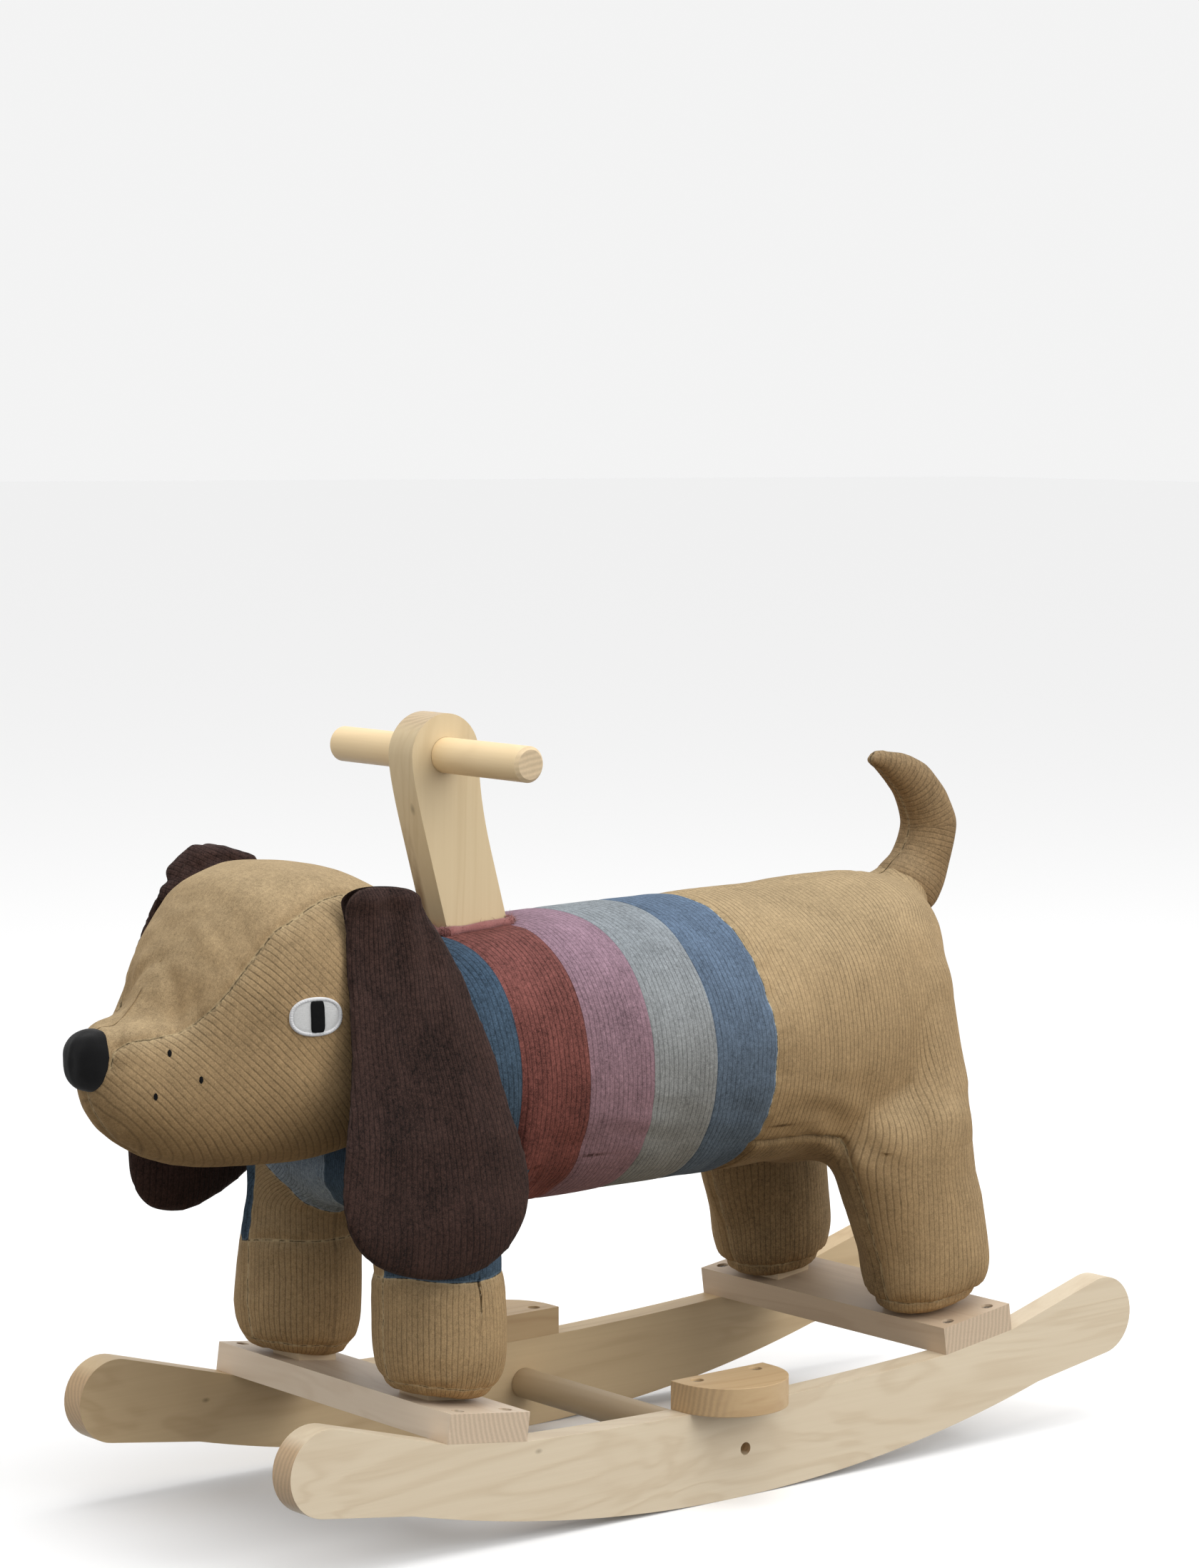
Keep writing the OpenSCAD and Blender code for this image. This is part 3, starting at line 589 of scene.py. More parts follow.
RIB_PITCH = 0.0036
TAN = (0.318, 0.220, 0.115)
TAN_SEAM = (0.58, 0.46, 0.27)
post_lo, post_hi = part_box("handle_post")
POST_STAIN = ((post_lo.x - 0.002, post_lo.y, post_lo.z + 0.09),
              (post_hi.x - 0.016, post_hi.y - 0.02, post_lo.z + 0.16), (0.20, 0.10, 0.035))
M = {
    "tan": corduroy("tan_corduroy", TAN, TAN_SEAM, wear=0.55),
    "nap": corduroy("tan_nap", TAN, TAN_SEAM, ribs=0.5, wear=0.55),
    # the tail's tan is the body's tan painted darker: painted shade
    "tail": corduroy("shaded_tail_corduroy", (0.222, 0.148, 0.076), (0.40, 0.30, 0.17), wear=0.7),
    "brown": corduroy("brown_corduroy", (0.033, 0.0178, 0.0142), (0.09, 0.06, 0.05), wear=1.5, sheen=0.16,
                      contrast=0.60),
    "blue": corduroy("blue_corduroy", (0.040, 0.064, 0.091), (0.20, 0.26, 0.31), wear=1.1, contrast=0.55),
    "chest": corduroy("chest_corduroy", (0.22, 0.27, 0.32), (0.34, 0.38, 0.42), wear=0.9),
    "red": corduroy("red_corduroy", (0.142, 0.048, 0.039), (0.36, 0.15, 0.12), wear=1.2, contrast=0.55),
    "mauve": corduroy("mauve_corduroy", (0.214, 0.130, 0.150), (0.5, 0.36, 0.40), wear=0.85),
    "grey": corduroy("grey_corduroy", (0.205, 0.212, 0.208), (0.50, 0.53, 0.53), wear=0.75),
    "slate": corduroy("slate_corduroy", (0.087, 0.117, 0.156), (0.3, 0.38, 0.46), wear=0.9),
    "rocker": timber("rocker_timber", (0.72, 0.615, 0.455), (0.52, 0.40, 0.26), "Y", 0.85,
                     (0.52, 0.36, 0.21), 0.05),
    # the far rocker's timber is painted darker and warmer than the near one's: painted shade under the body
    "rocker_painted_shade": timber("shaded_rocker_timber", (0.66, 0.50, 0.295), (0.42, 0.28, 0.145), "Y", 0.85,
                          (0.52, 0.35, 0.19), 0.05),
    # the front board's timber is painted lighter than the rear one's: painted light against the body's shade on
    # it
    "board_painted_light": timber("lit_board_timber", (0.74, 0.62, 0.48), (0.56, 0.42, 0.29), "X", 0.7,
                         (0.58, 0.45, 0.32), 0.04),
    "board": timber("board_timber", (0.62, 0.49, 0.35), (0.44, 0.31, 0.20), "X", 0.8, (0.56, 0.43, 0.30), 0.04),
    "foot": timber("footrest_timber", (0.56, 0.40, 0.22), (0.40, 0.25, 0.12), "Y", 1.0, (0.50, 0.34, 0.18)),
    "post": timber("post_timber", (0.66, 0.53, 0.33), (0.50, 0.37, 0.20), "Z", 0.7, (0.55, 0.42, 0.26), 0.07,
                   POST_STAIN),
    "dowel": timber("dowel_timber", (0.86, 0.67, 0.40), (0.70, 0.51, 0.28), "X", 0.6, (0.60, 0.46, 0.29)),
    "rail": timber("rail_timber", (0.54, 0.41, 0.25), (0.40, 0.28, 0.16), "X", 0.8, (0.50, 0.38, 0.24)),
    "hidden": timber("frame_timber", (0.60, 0.48, 0.32), (0.42, 0.30, 0.18), "Y", 1.0),
    "steel": metal("zinc_steel", (0.55, 0.55, 0.53), 0.23),
    "brass": metal("yellow_brass", (0.62, 0.45, 0.18), 0.18),
    "filling": felt("wadding", (0.80, 0.80, 0.78), 0.8, 300.0, 0.001),
    "rose": felt("rose_fleece", (0.33, 0.13, 0.12), 0.45, 900.0, 0.0009),
    "white": thread("white_thread", (0.95, 0.95, 0.96)),
    "eye": thread("eye_thread", (0.80, 0.80, 0.79), 900.0),
    "black": thread("black_thread", (0.005, 0.005, 0.0055), sheen=0.0, specular=0.1),
    "nose": felt("black_felt", (0.0055, 0.0055, 0.006), 0.5, 1500.0, 0.0003, 0.12),
}

# ---------------------------------------------------------------- wood


def eased(node, mat, width=0.0015, body="base"):
    """A copy of a CAD node with its edges rounded over."""
    bm = bmesh.new()
    bm.from_mesh(nodes[node].data)
    bmesh.ops.remove_doubles(bm, verts=bm.verts, dist=2e-6)
    bmesh.ops.dissolve_limit(bm, angle_limit=math.radians(0.25), verts=bm.verts, edges=bm.edges)
    sharp = [e for e in bm.edges if len(e.link_faces) == 2 and e.calc_face_angle(0) > math.radians(22)]
    bmesh.ops.bevel(bm, geom=sharp, offset=width, segments=3, profile=0.5, affect="EDGES", clamp_overlap=True)
    o = new_object(node + "_eased", to_mesh(bm, node + "_eased"))
    finish_piece(o, mat, body, [node])
    o.data.set_sharp_from_angle(angle=math.radians(34))
    w = o.modifiers.new("weighted", "WEIGHTED_NORMAL")
    w.keep_sharp = True
    return o


# the right rocker, on the far side, takes the timber with painted shade
for side in ("left", "right"):
    eased("rocker_" + side, M["rocker" if side == "left" else "rocker_painted_shade"])
    eased("footrest_" + side, M["foot"], 0.002)
# the front board takes the timber with painted light
for end in ("front", "rear"):
    eased(end + "_board", M["board_painted_light" if end == "front" else "board"], 0.0010)
eased("handle_post", M["post"], 0.0025)
eased("grip_bar", M["dowel"], 0.0012)
eased("rail", M["rail"], 0.0008)
BARS = [f"bar_{end}_{side}" for end in ("front", "rear") for side in ("left", "right")]
HIDDEN = {
    "dowel": ["grip_pin"],
    "hidden": ["spine_board", "post_cleats"] + BARS,
    "steel": ["board_screws", "footrest_screws", "leg_bolts", "leg_washers", "spine_screws", "cleat_screws",
              "post_bolts", "post_nuts"],
    "brass": ["rail_screws"],
}
for m, which in HIDDEN.items():
    for n in which:
        nodes[n].data.materials.clear()
        nodes[n].data.materials.append(M[m])
        for p in nodes[n].data.polygons:
            p.material_index = 0

# ---------------------------------------------------------------- the stuffed body
LEG_X, FRONT_Y, REAR_Y = 0.074, -0.203, 0.195      # the legs' middles
LEG_R = 0.04211
SEAM_X = 0.076          # half the width of the belly panel, which runs on down the insides of the legs
STRIPES = [-0.154, -0.104, -0.054, -0.004, 0.046]
HEM_Z = 0.163
DECK_Z = 0.085          # top of the cross boards
DECK_TILT = math.radians(7.6)
SOLE_SEAM = 0.0105      # height of the sole's seam over the board
SOLE_RISE = 0.0035      # lift of a sole's edge off the board
TAIL_AT = (0.0, 0.248, 0.352)
TINY = 3e-5             # how near a cut line a point counts as on it


def clipped_copy(bm, node, point, normal):
    """Adds to bm the part of a CAD node behind a plane, closed again."""
    part = bmesh.new()
    part.from_mesh(nodes[node].data)
    bmesh.ops.remove_doubles(part, verts=part.verts, dist=1e-6)
    r = bmesh.ops.bisect_plane(part, geom=part.verts[:] + part.edges[:] + part.faces[:], plane_co=point,
                               plane_no=normal, clear_outer=True)
    bmesh.ops.holes_fill(part, edges=[g for g in r["geom_cut"] if isinstance(g, bmesh.types.BMEdge)])
    me = to_mesh(part, "clip")
    bm.from_mesh(me)
    bpy.data.meshes.remove(me)


def capsule(bm, line, side):
    """Adds a round-ended cone between two centres to bm, mirrored for the right side."""
    a, ra, b, rb = line
    a, b = Vector(a), Vector(b)
    d = (b - a).normalized()
    u = d.orthogonal().normalized()
    w = d.cross(u)
    around, quarter = 24, 8
    rings = []
    for k in range(-quarter, quarter + 1):
        at, r = (a, ra) if k < 0 else (b, rb)
        ang = k / quarter * math.pi / 2
        rr, along = r * math.cos(ang), r * math.sin(ang)
        ring = []
        for i in range(around):
            t = i * 2 * math.pi / around
            q = at + d * along + (u * math.cos(t) + w * math.sin(t)) * max(rr, 1e-5)
            ring.append(bm.verts.new(STAND @ Vector((side * q.x, q.y, q.z))))
        rings.append(ring)
    faces = []
    for p, q in zip(rings, rings[1:]):
        for i in range(around):
            j = (i + 1) % around
            faces.append(bm.faces.new([p[i], p[j], q[j], q[i]]))
    faces.append(bm.faces.new(rings[0][::-1]))
    faces.append(bm.faces.new(rings[-1]))
    bmesh.ops.recalc_face_normals(bm, faces=faces)


def torso_source():
    bm = bmesh.new()
    for n in ["collar", "stripe_red", "stripe_mauve", "stripe_grey", "stripe_slate", "rump", "body_filling",
              "leg_front_left", "leg_front_right", "leg_rear_left", "leg_rear_right", "sleeve_left",
              "sleeve_right", "leg_filling", "paw_soles", "spine_board", "post_cleats"] + BARS:
        bm.from_mesh(nodes[n].data)
    clipped_copy(bm, "handle_post", (0, 0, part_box("body_filling")[1].z - 0.010), (0, 0, 1))
    bmesh.ops.create_icosphere(bm, subdivisions=3, radius=0.0215,
                               matrix=Matrix.Translation(STAND @ Vector(TAIL_AT)))
    for side in (1, -1):     # haunches and shoulders: the stuffing fills the corners between legs and body
        for line in (((0.076, 0.197, 0.175), 0.0405, (0.050, 0.202, 0.292), 0.038),
                     ((0.074, 0.192, 0.108), 0.0345, (0.070, 0.161, 0.198), 0.0365),
                     ((0.078, 0.203, 0.118), 0.0410, (0.076, 0.197, 0.200), 0.040),
                     ((0.075, -0.203, 0.170), 0.040, (0.055, -0.196, 0.270), 0.036)):
            capsule(bm, line, side)
    return new_object("torso_form", to_mesh(bm, "torso"))


def biggest(o):
    """Keeps only the largest connected surface."""
    bm = bmesh.new()
    bm.from_mesh(o.data)
    seen, best = set(), []
    for v in bm.verts:
        if v in seen:
            continue
        stack, part = [v], []
        seen.add(v)
        while stack:
            a = stack.pop()
            part.append(a)
            for e in a.link_edges:
                b = e.other_vert(a)
                if b not in seen:
                    seen.add(b)
                    stack.append(b)
        if len(part) > len(best):
            best = part
    keep = set(best)
    bmesh.ops.delete(bm, geom=[v for v in bm.verts if v not in keep], context="VERTS")
    bm.to_mesh(o.data)
    bm.free()
    return o


def subdivided(o):
    m = o.modifiers.new("fine", "SUBSURF")
    m.levels = m.render_levels = 1
    return applied(o)


def leg_angle(c):
    """Nearest leg's centre Y, and the angle of each point round it, 0 at its outermost line."""
    yc = np.where(c[:, 1] < 0, FRONT_Y, REAR_Y)
    return yc, np.arctan2(c[:, 1] - yc, np.abs(c[:, 0]) - LEG_X)


def torso_wale(c):
    x, y, z = c.T
    rear = 0.150 + 0.100 * np.arctan2(y - 0.150, np.abs(x) + 1e-5)
    front = -0.190 + 0.095 * np.arctan2(y + 0.190, np.abs(x) + 1e-5)
    s = np.where(y > 0.150, rear, np.where(y < -0.190, front, y))
    on_top = smooth(z, 0.325, 0.352)
    s = s * (1 - on_top) + y * on_top
    yc, a = leg_angle(c)
    leg = yc + LEG_R * a
    near_leg = smooth(-np.hypot(np.abs(x) - LEG_X, y - yc), -0.085, -0.055)
    t = (1 - smooth(z, 0.185, 0.222)) * near_leg
    return s * (1 - t) + leg * t


def hem(c):
    """Above 0 over the front legs' hems, which wave a little and dip towards the inside."""
    return c[:, 2] - HEM_Z - 0.0015 * np.sin(c[:, 0] * 90) - 0.03 * np.maximum(0, LEG_X - np.abs(c[:, 0]))


def chest_arc(c):
    """Above 0 over the curved top edge of the front legs' inner panels."""
    return c[:, 2] - np.interp(np.abs(c[:, 0]), [0.010, 0.022, 0.035, 0.045, 0.062, 0.080],
                               [0.150, 0.166, 0.186, 0.200, 0.213, 0.217])


def sole_height(c):
    """Height over the tilted cross boards."""
    end = np.sign(c[:, 1])
    return (c[:, 2] - DECK_Z) * math.cos(DECK_TILT) - (c[:, 1] + end * FRONT_Y) * end * math.sin(DECK_TILT)


def sole_line(c):
    return sole_height(c) - SOLE_SEAM


def side_seam(c):
    """Above 0 outside the belly panel and the legs' inner panels, which are narrower on the front legs."""
    return np.abs(c[:, 0]) - SEAM_X + 0.006 * smooth(-c[:, 1], 0.120, 0.150)


def chest_line(c):
    return c[:, 0] - 0.004


def leg_top(c):
    return c[:, 2] - 0.196


def stuffing(bm, name, stands_for):
    """The wadding inside a skin, a little smaller than it."""
    me = bpy.data.meshes.new(name)
    bm.to_mesh(me)
    set_coords(me, relax(coords(me) - normals(me) * 0.0060, edges(me), 4))
    o = new_object(name, me)
    finish_piece(o, M["filling"], "base", stands_for)


torso = biggest(remeshed(torso_source(), 0.005, 9))
c = own(coords(torso.data))
# feet: round underneath, so that only the middle of the sole stands on the board
yc, _ = leg_angle(c)
up = sole_height(c)
shrink = np.interp(up, [-0.002, 0.000, 0.004, 0.010, 0.018, 0.030], [0.58, 0.64, 0.82, 0.925, 0.980, 1.0])
low = c[:, 2] < 0.135
mid = np.c_[np.sign(c[:, 0]) * LEG_X, yc]
c[low, :2] = (mid + (c[:, :2] - mid) * shrink[:, None])[low]
under = low & (up < SOLE_RISE)
c[under, 2] += (SOLE_RISE - up[under]) * 0.7
set_coords(torso.data, world(c))
x, y, z = c.T
pins = np.maximum.reduce([
    bell(side_seam(c), 0.004) * (z < 0.215),
    (sole_height(c) < 0.012) * (z < 0.13) * 1.0,
    bell(hem(c), 0.004) * (y < -0.12) * 0.7,
    ((np.hypot(x, y + 0.126) < 0.034) & (z > 0.33)) * 1.0,
    (np.linalg.norm(c - np.array(TAIL_AT), axis=1) < 0.034) * 1.0])
subdivided(inflated(torso, pins, 0.006))
set_coords(torso.data, relax(coords(torso.data), edges(torso.data), 2))


def torso_region(c):
    """The name of the panel that each place belongs to."""
    x, y, z = c.T
    front_leg = (y < -0.140) & (z < 0.217)
    rear_leg = (y > 0.110) & (z < 0.196)
    inner = side_seam(c) < 0
    over_hem, over_arc, under_sole = hem(c) >= 0, chest_arc(c) >= 0, sole_line(c) < 0
    n = np.full(len(c), "rump", dtype=object)
    bands = ("stripe_slate", "stripe_grey", "stripe_mauve", "stripe_red", "collar")
    for name, end in zip(bands, STRIPES[::-1]):
        n[y < end] = name
    side = np.where(x > 0, "left", "right")
    for k in range(len(c)):
        if rear_leg[k]:
            n[k] = "leg_rear_" + side[k]
        elif front_leg[k] and np.hypot(abs(x[k]) - LEG_X, y[k] - FRONT_Y) < 0.066:
            if not inner[k]:
                n[k] = ("sleeve_" if over_hem[k] else "leg_front_") + side[k]
            elif over_arc[k] or (abs(x[k]) < 0.022 and z[k] > 0.16):
                n[k] = "chest"
            else:
                n[k] = "leg_front_" + side[k]
        if n[k] == "collar" and inner[k] and z[k] < 0.232 and y[k] < -0.19:
            n[k] = "chest"
        if n[k] == "chest" and x[k] > 0.004:
            n[k] = "collar"
        if under_sole[k] and z[k] < 0.12:
            n[k] = "sole"
    return n


def stripe_edge(s):
    return lambda c: c[:, 1] - s


def middle(c):
    return c[:, 0]


bm, c, nrm = opened(torso, [stripe_edge(s) for s in STRIPES]
                    + [side_seam, hem, chest_arc, chest_line, leg_top, sole_line, middle])
names = torso_region(face_centres(bm))
x, y, z = c.T


def on(field):
    return np.abs(field) < TINY


stitched = on(side_seam(c)) & (z < 0.214) & (z > 0.09) & ((y > STRIPES[4]) | (y < -0.13))
stitched |= on(hem(c)) & (y < -0.140)
stitched |= on(chest_arc(c)) & (y < -0.15) & (np.abs(x) < SEAM_X) & (np.abs(x) > 0.024)
stitched |= on(sole_line(c)) & (z < 0.12)
stitched |= on(y - STRIPES[4])
stitched |= on(x) & (y > 0.046) & (z > 0.20)
stitched |= on(chest_line(c)) & (y < -0.17) & (z < 0.25)
seam = nearest(c, c[stitched])
stripe_seam = nearest(c, c[np.logical_or.reduce([on(y - s) for s in STRIPES])])
lift = -(0.0010 + 0.0024 * (z < 0.205) * (y > 0)) * bell(seam, 0.0034) - 0.0006 * bell(stripe_seam, 0.0024)
# puckers along the stitched seams, and soft folds where the belly meets the legs
lift += 0.0011 * rough(x * 55, y * 130, z * 130) * np.exp(-seam / 0.011) + 0.0011 * rough(*c.T * 22)
at_crotch = np.exp(-((y - 0.120) / 0.035) ** 2 - ((z - 0.195) / 0.03) ** 2) \
    + 0.8 * np.exp(-((y + 0.13) / 0.04) ** 2 - ((z - 0.19) / 0.035) ** 2)
lift += 0.0042 * rough(x * 30 + 3, y * 30 + z * 45, z * 8) * at_crotch
# gathers round each sole, the dart between collar and first stripe over the shoulder, and creased flanks
gather = rough(x * 150, y * 150, 7) * (z < 0.13)
lift += gather * (0.0011 * bell(sole_line(c) - 0.0040, 0.0040) + 0.0006 * bell(sole_line(c) + 0.003, 0.003))
lift -= 0.0034 * bell(y - STRIPES[0], 0.0026) * smooth(-z, -0.300, -0.235) * (z > 0.205)
lift += 0.0014 * rough(x * 20, y * 26 + z * 30, z * 55) * bell(z - 0.225, 0.03) * (y > -0.13) * (y < 0.13)
shaped = c + nrm * (lift * smooth(sole_height(c), 0.001, 0.006))[:, None]
# the drawn-in rump and thighs, the flatter belly, the fuller back and the narrower top of the front legs
DRAWN_IN = [(0.086, 0.0010), (0.105, 0.0020), (0.132, 0.0038), (0.160, 0.0060), (0.175, 0.0085),
            (0.196, 0.0095), (0.210, 0.0080), (0.232, 0.0045), (0.255, 0.0065), (0.287, 0.0090),
            (0.315, 0.0075), (0.330, 0.0030), (0.345, 0.0)]
drawn = np.interp(z, *zip(*DRAWN_IN))
shaped[:, 1] -= drawn * smooth(y, 0.135, 0.215)
shaped[:, 0] -= np.sign(x) * 0.0038 * smooth(y, 0.15, 0.23) * smooth(np.abs(x), 0.070, 0.100) * (drawn / 0.008)
belly = smooth(-nrm[:, 2], 0.0, 0.7) * (1 - smooth(np.abs(y + 0.010), 0.105, 0.135)) * (z < 0.25)
shaped[:, 2] += 0.0050 * belly
shaped[:, 2] += (0.0018 + 0.0012 * smooth(y, 0.12, 0.20)) * smooth(z, 0.30, 0.35)
narrow = np.interp(z, [0.09, 0.12, 0.145, 0.165, 0.19, 0.215], [0.0015, 0.0012, 0.0028, 0.0042, 0.0055, 0.0]) \
    * (y < -0.13) * smooth(np.abs(x), LEG_X, LEG_X + 0.02)
shaped[:, 0] -= np.sign(x) * narrow
shaped[:, 1] += narrow * (y < FRONT_Y) * smooth(-y, 0.175, 0.195)
# painted shade: the rear legs' inner panels, where the brushed pile lies the other way, are painted darker
inner_leg = (1 - smooth(np.abs(x), SEAM_X - 0.0010, SEAM_X + 0.0004)) * smooth(-z, -0.214, -0.196) * (y > 0.02)
closed(bm, shaped, wale=torso_wale(c), seam=np.where(stripe_seam < seam, seam + 0.0004, seam),
       ribbed=1.0 - 0.3 * np.exp(-seam / 0.003), shade=0.30 * inner_leg)
stuffing(bm, "body_stuffing", ["body_filling", "leg_filling"])

TORSO = [("collar", "blue", ["collar"], "blue_cord"), ("chest", "chest", [], "blue_cord")]
TORSO += [("stripe_" + k, k, ["stripe_" + k], k + "_cord") for k in ("red", "mauve", "grey", "slate")]
TORSO += [("rump", "tan", ["rump"], "tan_cord")]
for s in ("left", "right"):
    TORSO += [("sleeve_" + s, "blue", ["sleeve_" + s], "blue_cord")]
    TORSO += [(leg + s, "tan", [leg + s], "tan_cord") for leg in ("leg_front_", "leg_rear_")]
TORSO += [("sole", "tan", ["paw_soles"], "sole_cord")]
for name, m, stands, slot in TORSO:
    extract(bm, names, name, name + "_cloth", M[m], "base", stands)
bm.free()

# ---------------------------------------------------------------- head
# Half the width of the head's top panel along Y
HEAD_TOP = [(-0.430, 0.010), (-0.404, 0.017), (-0.395, 0.020), (-0.379, 0.031), (-0.361, 0.041),
            (-0.347, 0.049), (-0.338, 0.053), (-0.318, 0.0595), (-0.303, 0.0625), (-0.283, 0.0625),
            (-0.260, 0.058), (-0.200, 0.060)]


def gusset(c):
    """Below 0 on the top panel between the ears."""
    f = np.interp(c[:, 1], *zip(*HEAD_TOP))
    return np.maximum(np.abs(c[:, 0]) - f, 0.297 - c[:, 2])


head = joined("head_form", ["head_gusset", "head_side_left", "head_side_right", "head_filling"])
head = biggest(remeshed(head, 0.0045, 8))
c = own(coords(head.data))
pins = np.maximum(bell(gusset(c), 0.004), bell(c[:, 0], 0.004) * (c[:, 2] < 0.28) * 0.7)
subdivided(inflated(head, pins, 0.005))
bm, c, nrm = opened(head, (gusset, middle))
centres = face_centres(bm)
names = np.where(gusset(centres) < 0, "gusset", np.where(centres[:, 0] > 0, "left", "right"))
x, y, z = c.T
seam = nearest(c, c[(on(gusset(c)) & (y > -0.402)) | (on(x) & (z < 0.300))])
on_top = (gusset(c) < 0) * 1.0
lift = 0.0009 * rough(x * 60, y * 120, z * 120) * np.exp(-seam / 0.012) + 0.0012 * rough(*c.T * 24) \
    - 0.0013 * bell(seam, 0.0028)
# creases across the bridge of the muzzle, and wrinkles round them
arc = y + 2.0 * np.abs(x) ** 1.5
for at, width, deep in ((-0.352, 0.0045, 0.0018), (-0.388, 0.004, 0.0014), (-0.338, 0.005, 0.0010)):
    lift -= deep * bell(arc - at, width) * on_top
lift += 0.0012 * rough(x * 60, y * 150, 5) * bell(y + 0.350, 0.03) * on_top
# the stop between forehead and muzzle is pressed in, and the chin is full
stop = np.exp(-((y + 0.384 - 0.5 * np.abs(x)) / 0.017) ** 2 - ((z - 0.334) / 0.020) ** 2)
lift -= 0.0090 * stop * (1 - smooth(np.abs(x), 0.035, 0.055))
lift += 0.0024 * smooth(-y, 0.360, 0.400) * smooth(-z, -0.300, -0.270)
a = math.radians(48)
closed(bm, c + nrm * lift[:, None], wale=np.where(on_top > 0, np.abs(x), y * math.sin(a) + z * math.cos(a)),
       seam=seam, ribbed=np.where(on_top > 0, 0.28, 0.9))
stuffing(bm, "head_stuffing", ["head_filling"])
HEAD = [extract(bm, names, "gusset", "head_gusset_cloth", M["nap"], "base", ["head_gusset"])]
for s in ("left", "right"):
    HEAD.append(extract(bm, names, s, f"head_side_{s}_cloth", M["tan"], "base", ["head_side_" + s]))
bm.free()


def surface(objects):
    """The surface of several pieces, for what is sewn on it."""
    verts, faces = [], []
    for o in objects:
        n = len(verts)
        verts += [v.co.copy() for v in o.data.vertices]
        faces += [[n + i for i in p.vertices] for p in o.data.polygons]
    return BVHTree.FromPolygons(verts, faces)


head_skin = surface(HEAD)


def on_side(tree, side, y, z):
    """Where a line from the side meets the surface, and the normal there; y and z in the toy's own frame."""
    start = STAND @ Vector((side * 0.3, y, z))
    hit = tree.ray_cast(start, STAND.to_3x3() @ Vector((-side, 0, 0)))
    return hit[0], hit[1]


def rounded(a, half_y, half_z, power):
    """A point of an outline between an ellipse and a rectangle, at angle a."""
    ca, sa = math.cos(a), math.sin(a)
    return (math.copysign(abs(ca) ** (2 / power), ca) * half_y,
            math.copysign(abs(sa) ** (2 / power), sa) * half_z)


def patch(name, side, y, z, half_y, half_z, power, rise, crown, mat, stands):
    """A stitched patch that follows the head: rounded outline, raised edge and a low crown."""
    rings, around = 9, 48
    verts = []
    for i in range(rings + 2):
        t = min(i, rings) / rings
        h = rise + crown * (1 - t * t)
        if i >= rings - 1:
            h = (rise, rise * 0.35, -0.002)[i - rings + 1]
        for k in range(around):
            u, w = rounded(2 * math.pi * k / around, half_y * t, half_z * t, power)
            p, n = on_side(head_skin, side, y + u, z + w)
            verts.append(p + n * h)
    faces = []
    for i in range(rings + 1):
        for k in range(around):
            b = (k + 1) % around
            q = [i * around + k, (i + 1) * around + k, (i + 1) * around + b, i * around + b]
            faces.append(q if side > 0 else q[::-1])
    return finish_piece(new_object(name, shell(name, verts, faces, 1e-6)), mat, "base", stands)


eye_lo, eye_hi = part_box("eye_left")
eye_y, eye_z = own(np.array([[0, (eye_lo.y + eye_hi.y) / 2, (eye_lo.z + eye_hi.z) / 2]]))[0][1:]
eye_y -= 0.0035
EYE_Y, EYE_Z, EYE_POWER = 0.0160, 0.0112, 2.3


def eye_rim(name, side):
    """The satin-stitched border of an eye: close upright stitches over a soft ridge."""
    verts = []
    around, across = 220, 10
    for i in range(around):
        u, w = rounded(2 * math.pi * i / around, EYE_Y, EYE_Z, EYE_POWER)
        p, n = on_side(head_skin, side, eye_y + u, eye_z + w)
        inner, _ = on_side(head_skin, side, eye_y + u * 0.5, eye_z + w * 0.5)
        out = (p - inner).normalized()
        ridge = 0.0013 + 0.00016 * math.sin(i * math.pi / 2) + 0.00010 * noise.noise(Vector((i * 0.9, side, 0)))
        for k in range(across):
            b = 2 * math.pi * k / across
            verts.append(p - out * 0.0011 + out * (0.00125 * math.cos(b)) + n * (0.0006 + ridge * math.sin(b)))
    me = shell(name, verts, tube_faces(around, across))
    return finish_piece(new_object(name, me), M["white"], "base", ())


for s, side in (("left", 1), ("right", -1)):
    patch(f"eye_{s}_stitch", side, eye_y, eye_z, EYE_Y - 0.0012, EYE_Z - 0.0012, EYE_POWER, 0.0011, 0.0002,
          M["eye"], ["eye_" + s])
    eye_rim(f"eye_{s}_rim", side)
    patch(f"pupil_{s}_stitch", side, eye_y + 0.0005, eye_z, 0.0043, 0.0096, 6.0, 0.0024, 0.0003,
          M["black"], ["pupil_" + s])

# whisker knots: short upright stitches
bm = bmesh.new()
for side in (1, -1):
    for y, z in ((-0.370, 0.3065), (-0.356, 0.291), (-0.379, 0.282)):
        p, n = on_side(head_skin, side, y, z)
        r = bmesh.ops.create_icosphere(bm, subdivisions=3, radius=1)
        turn = n.to_track_quat("Z", "Y").to_matrix().to_4x4()
        up = turn.inverted().to_3x3() @ Vector((0, 0, 1))
        spin = Matrix.Rotation(math.atan2(up.y, up.x), 4, "Z")
        mat4 = Matrix.Translation(p - n * 0.0004) @ turn @ spin @ Matrix.Diagonal((0.0023, 0.0013, 0.0012, 1))
        for v in r["verts"]:
            w = 1 + 0.16 * noise.noise(v.co * 4 + Vector((y * 99, z * 77, side)))
            v.co = mat4 @ (v.co * w)
finish_piece(new_object("whisker_stitches", to_mesh(bm, "whiskers")), M["black"], "base", ["whisker_knots"])

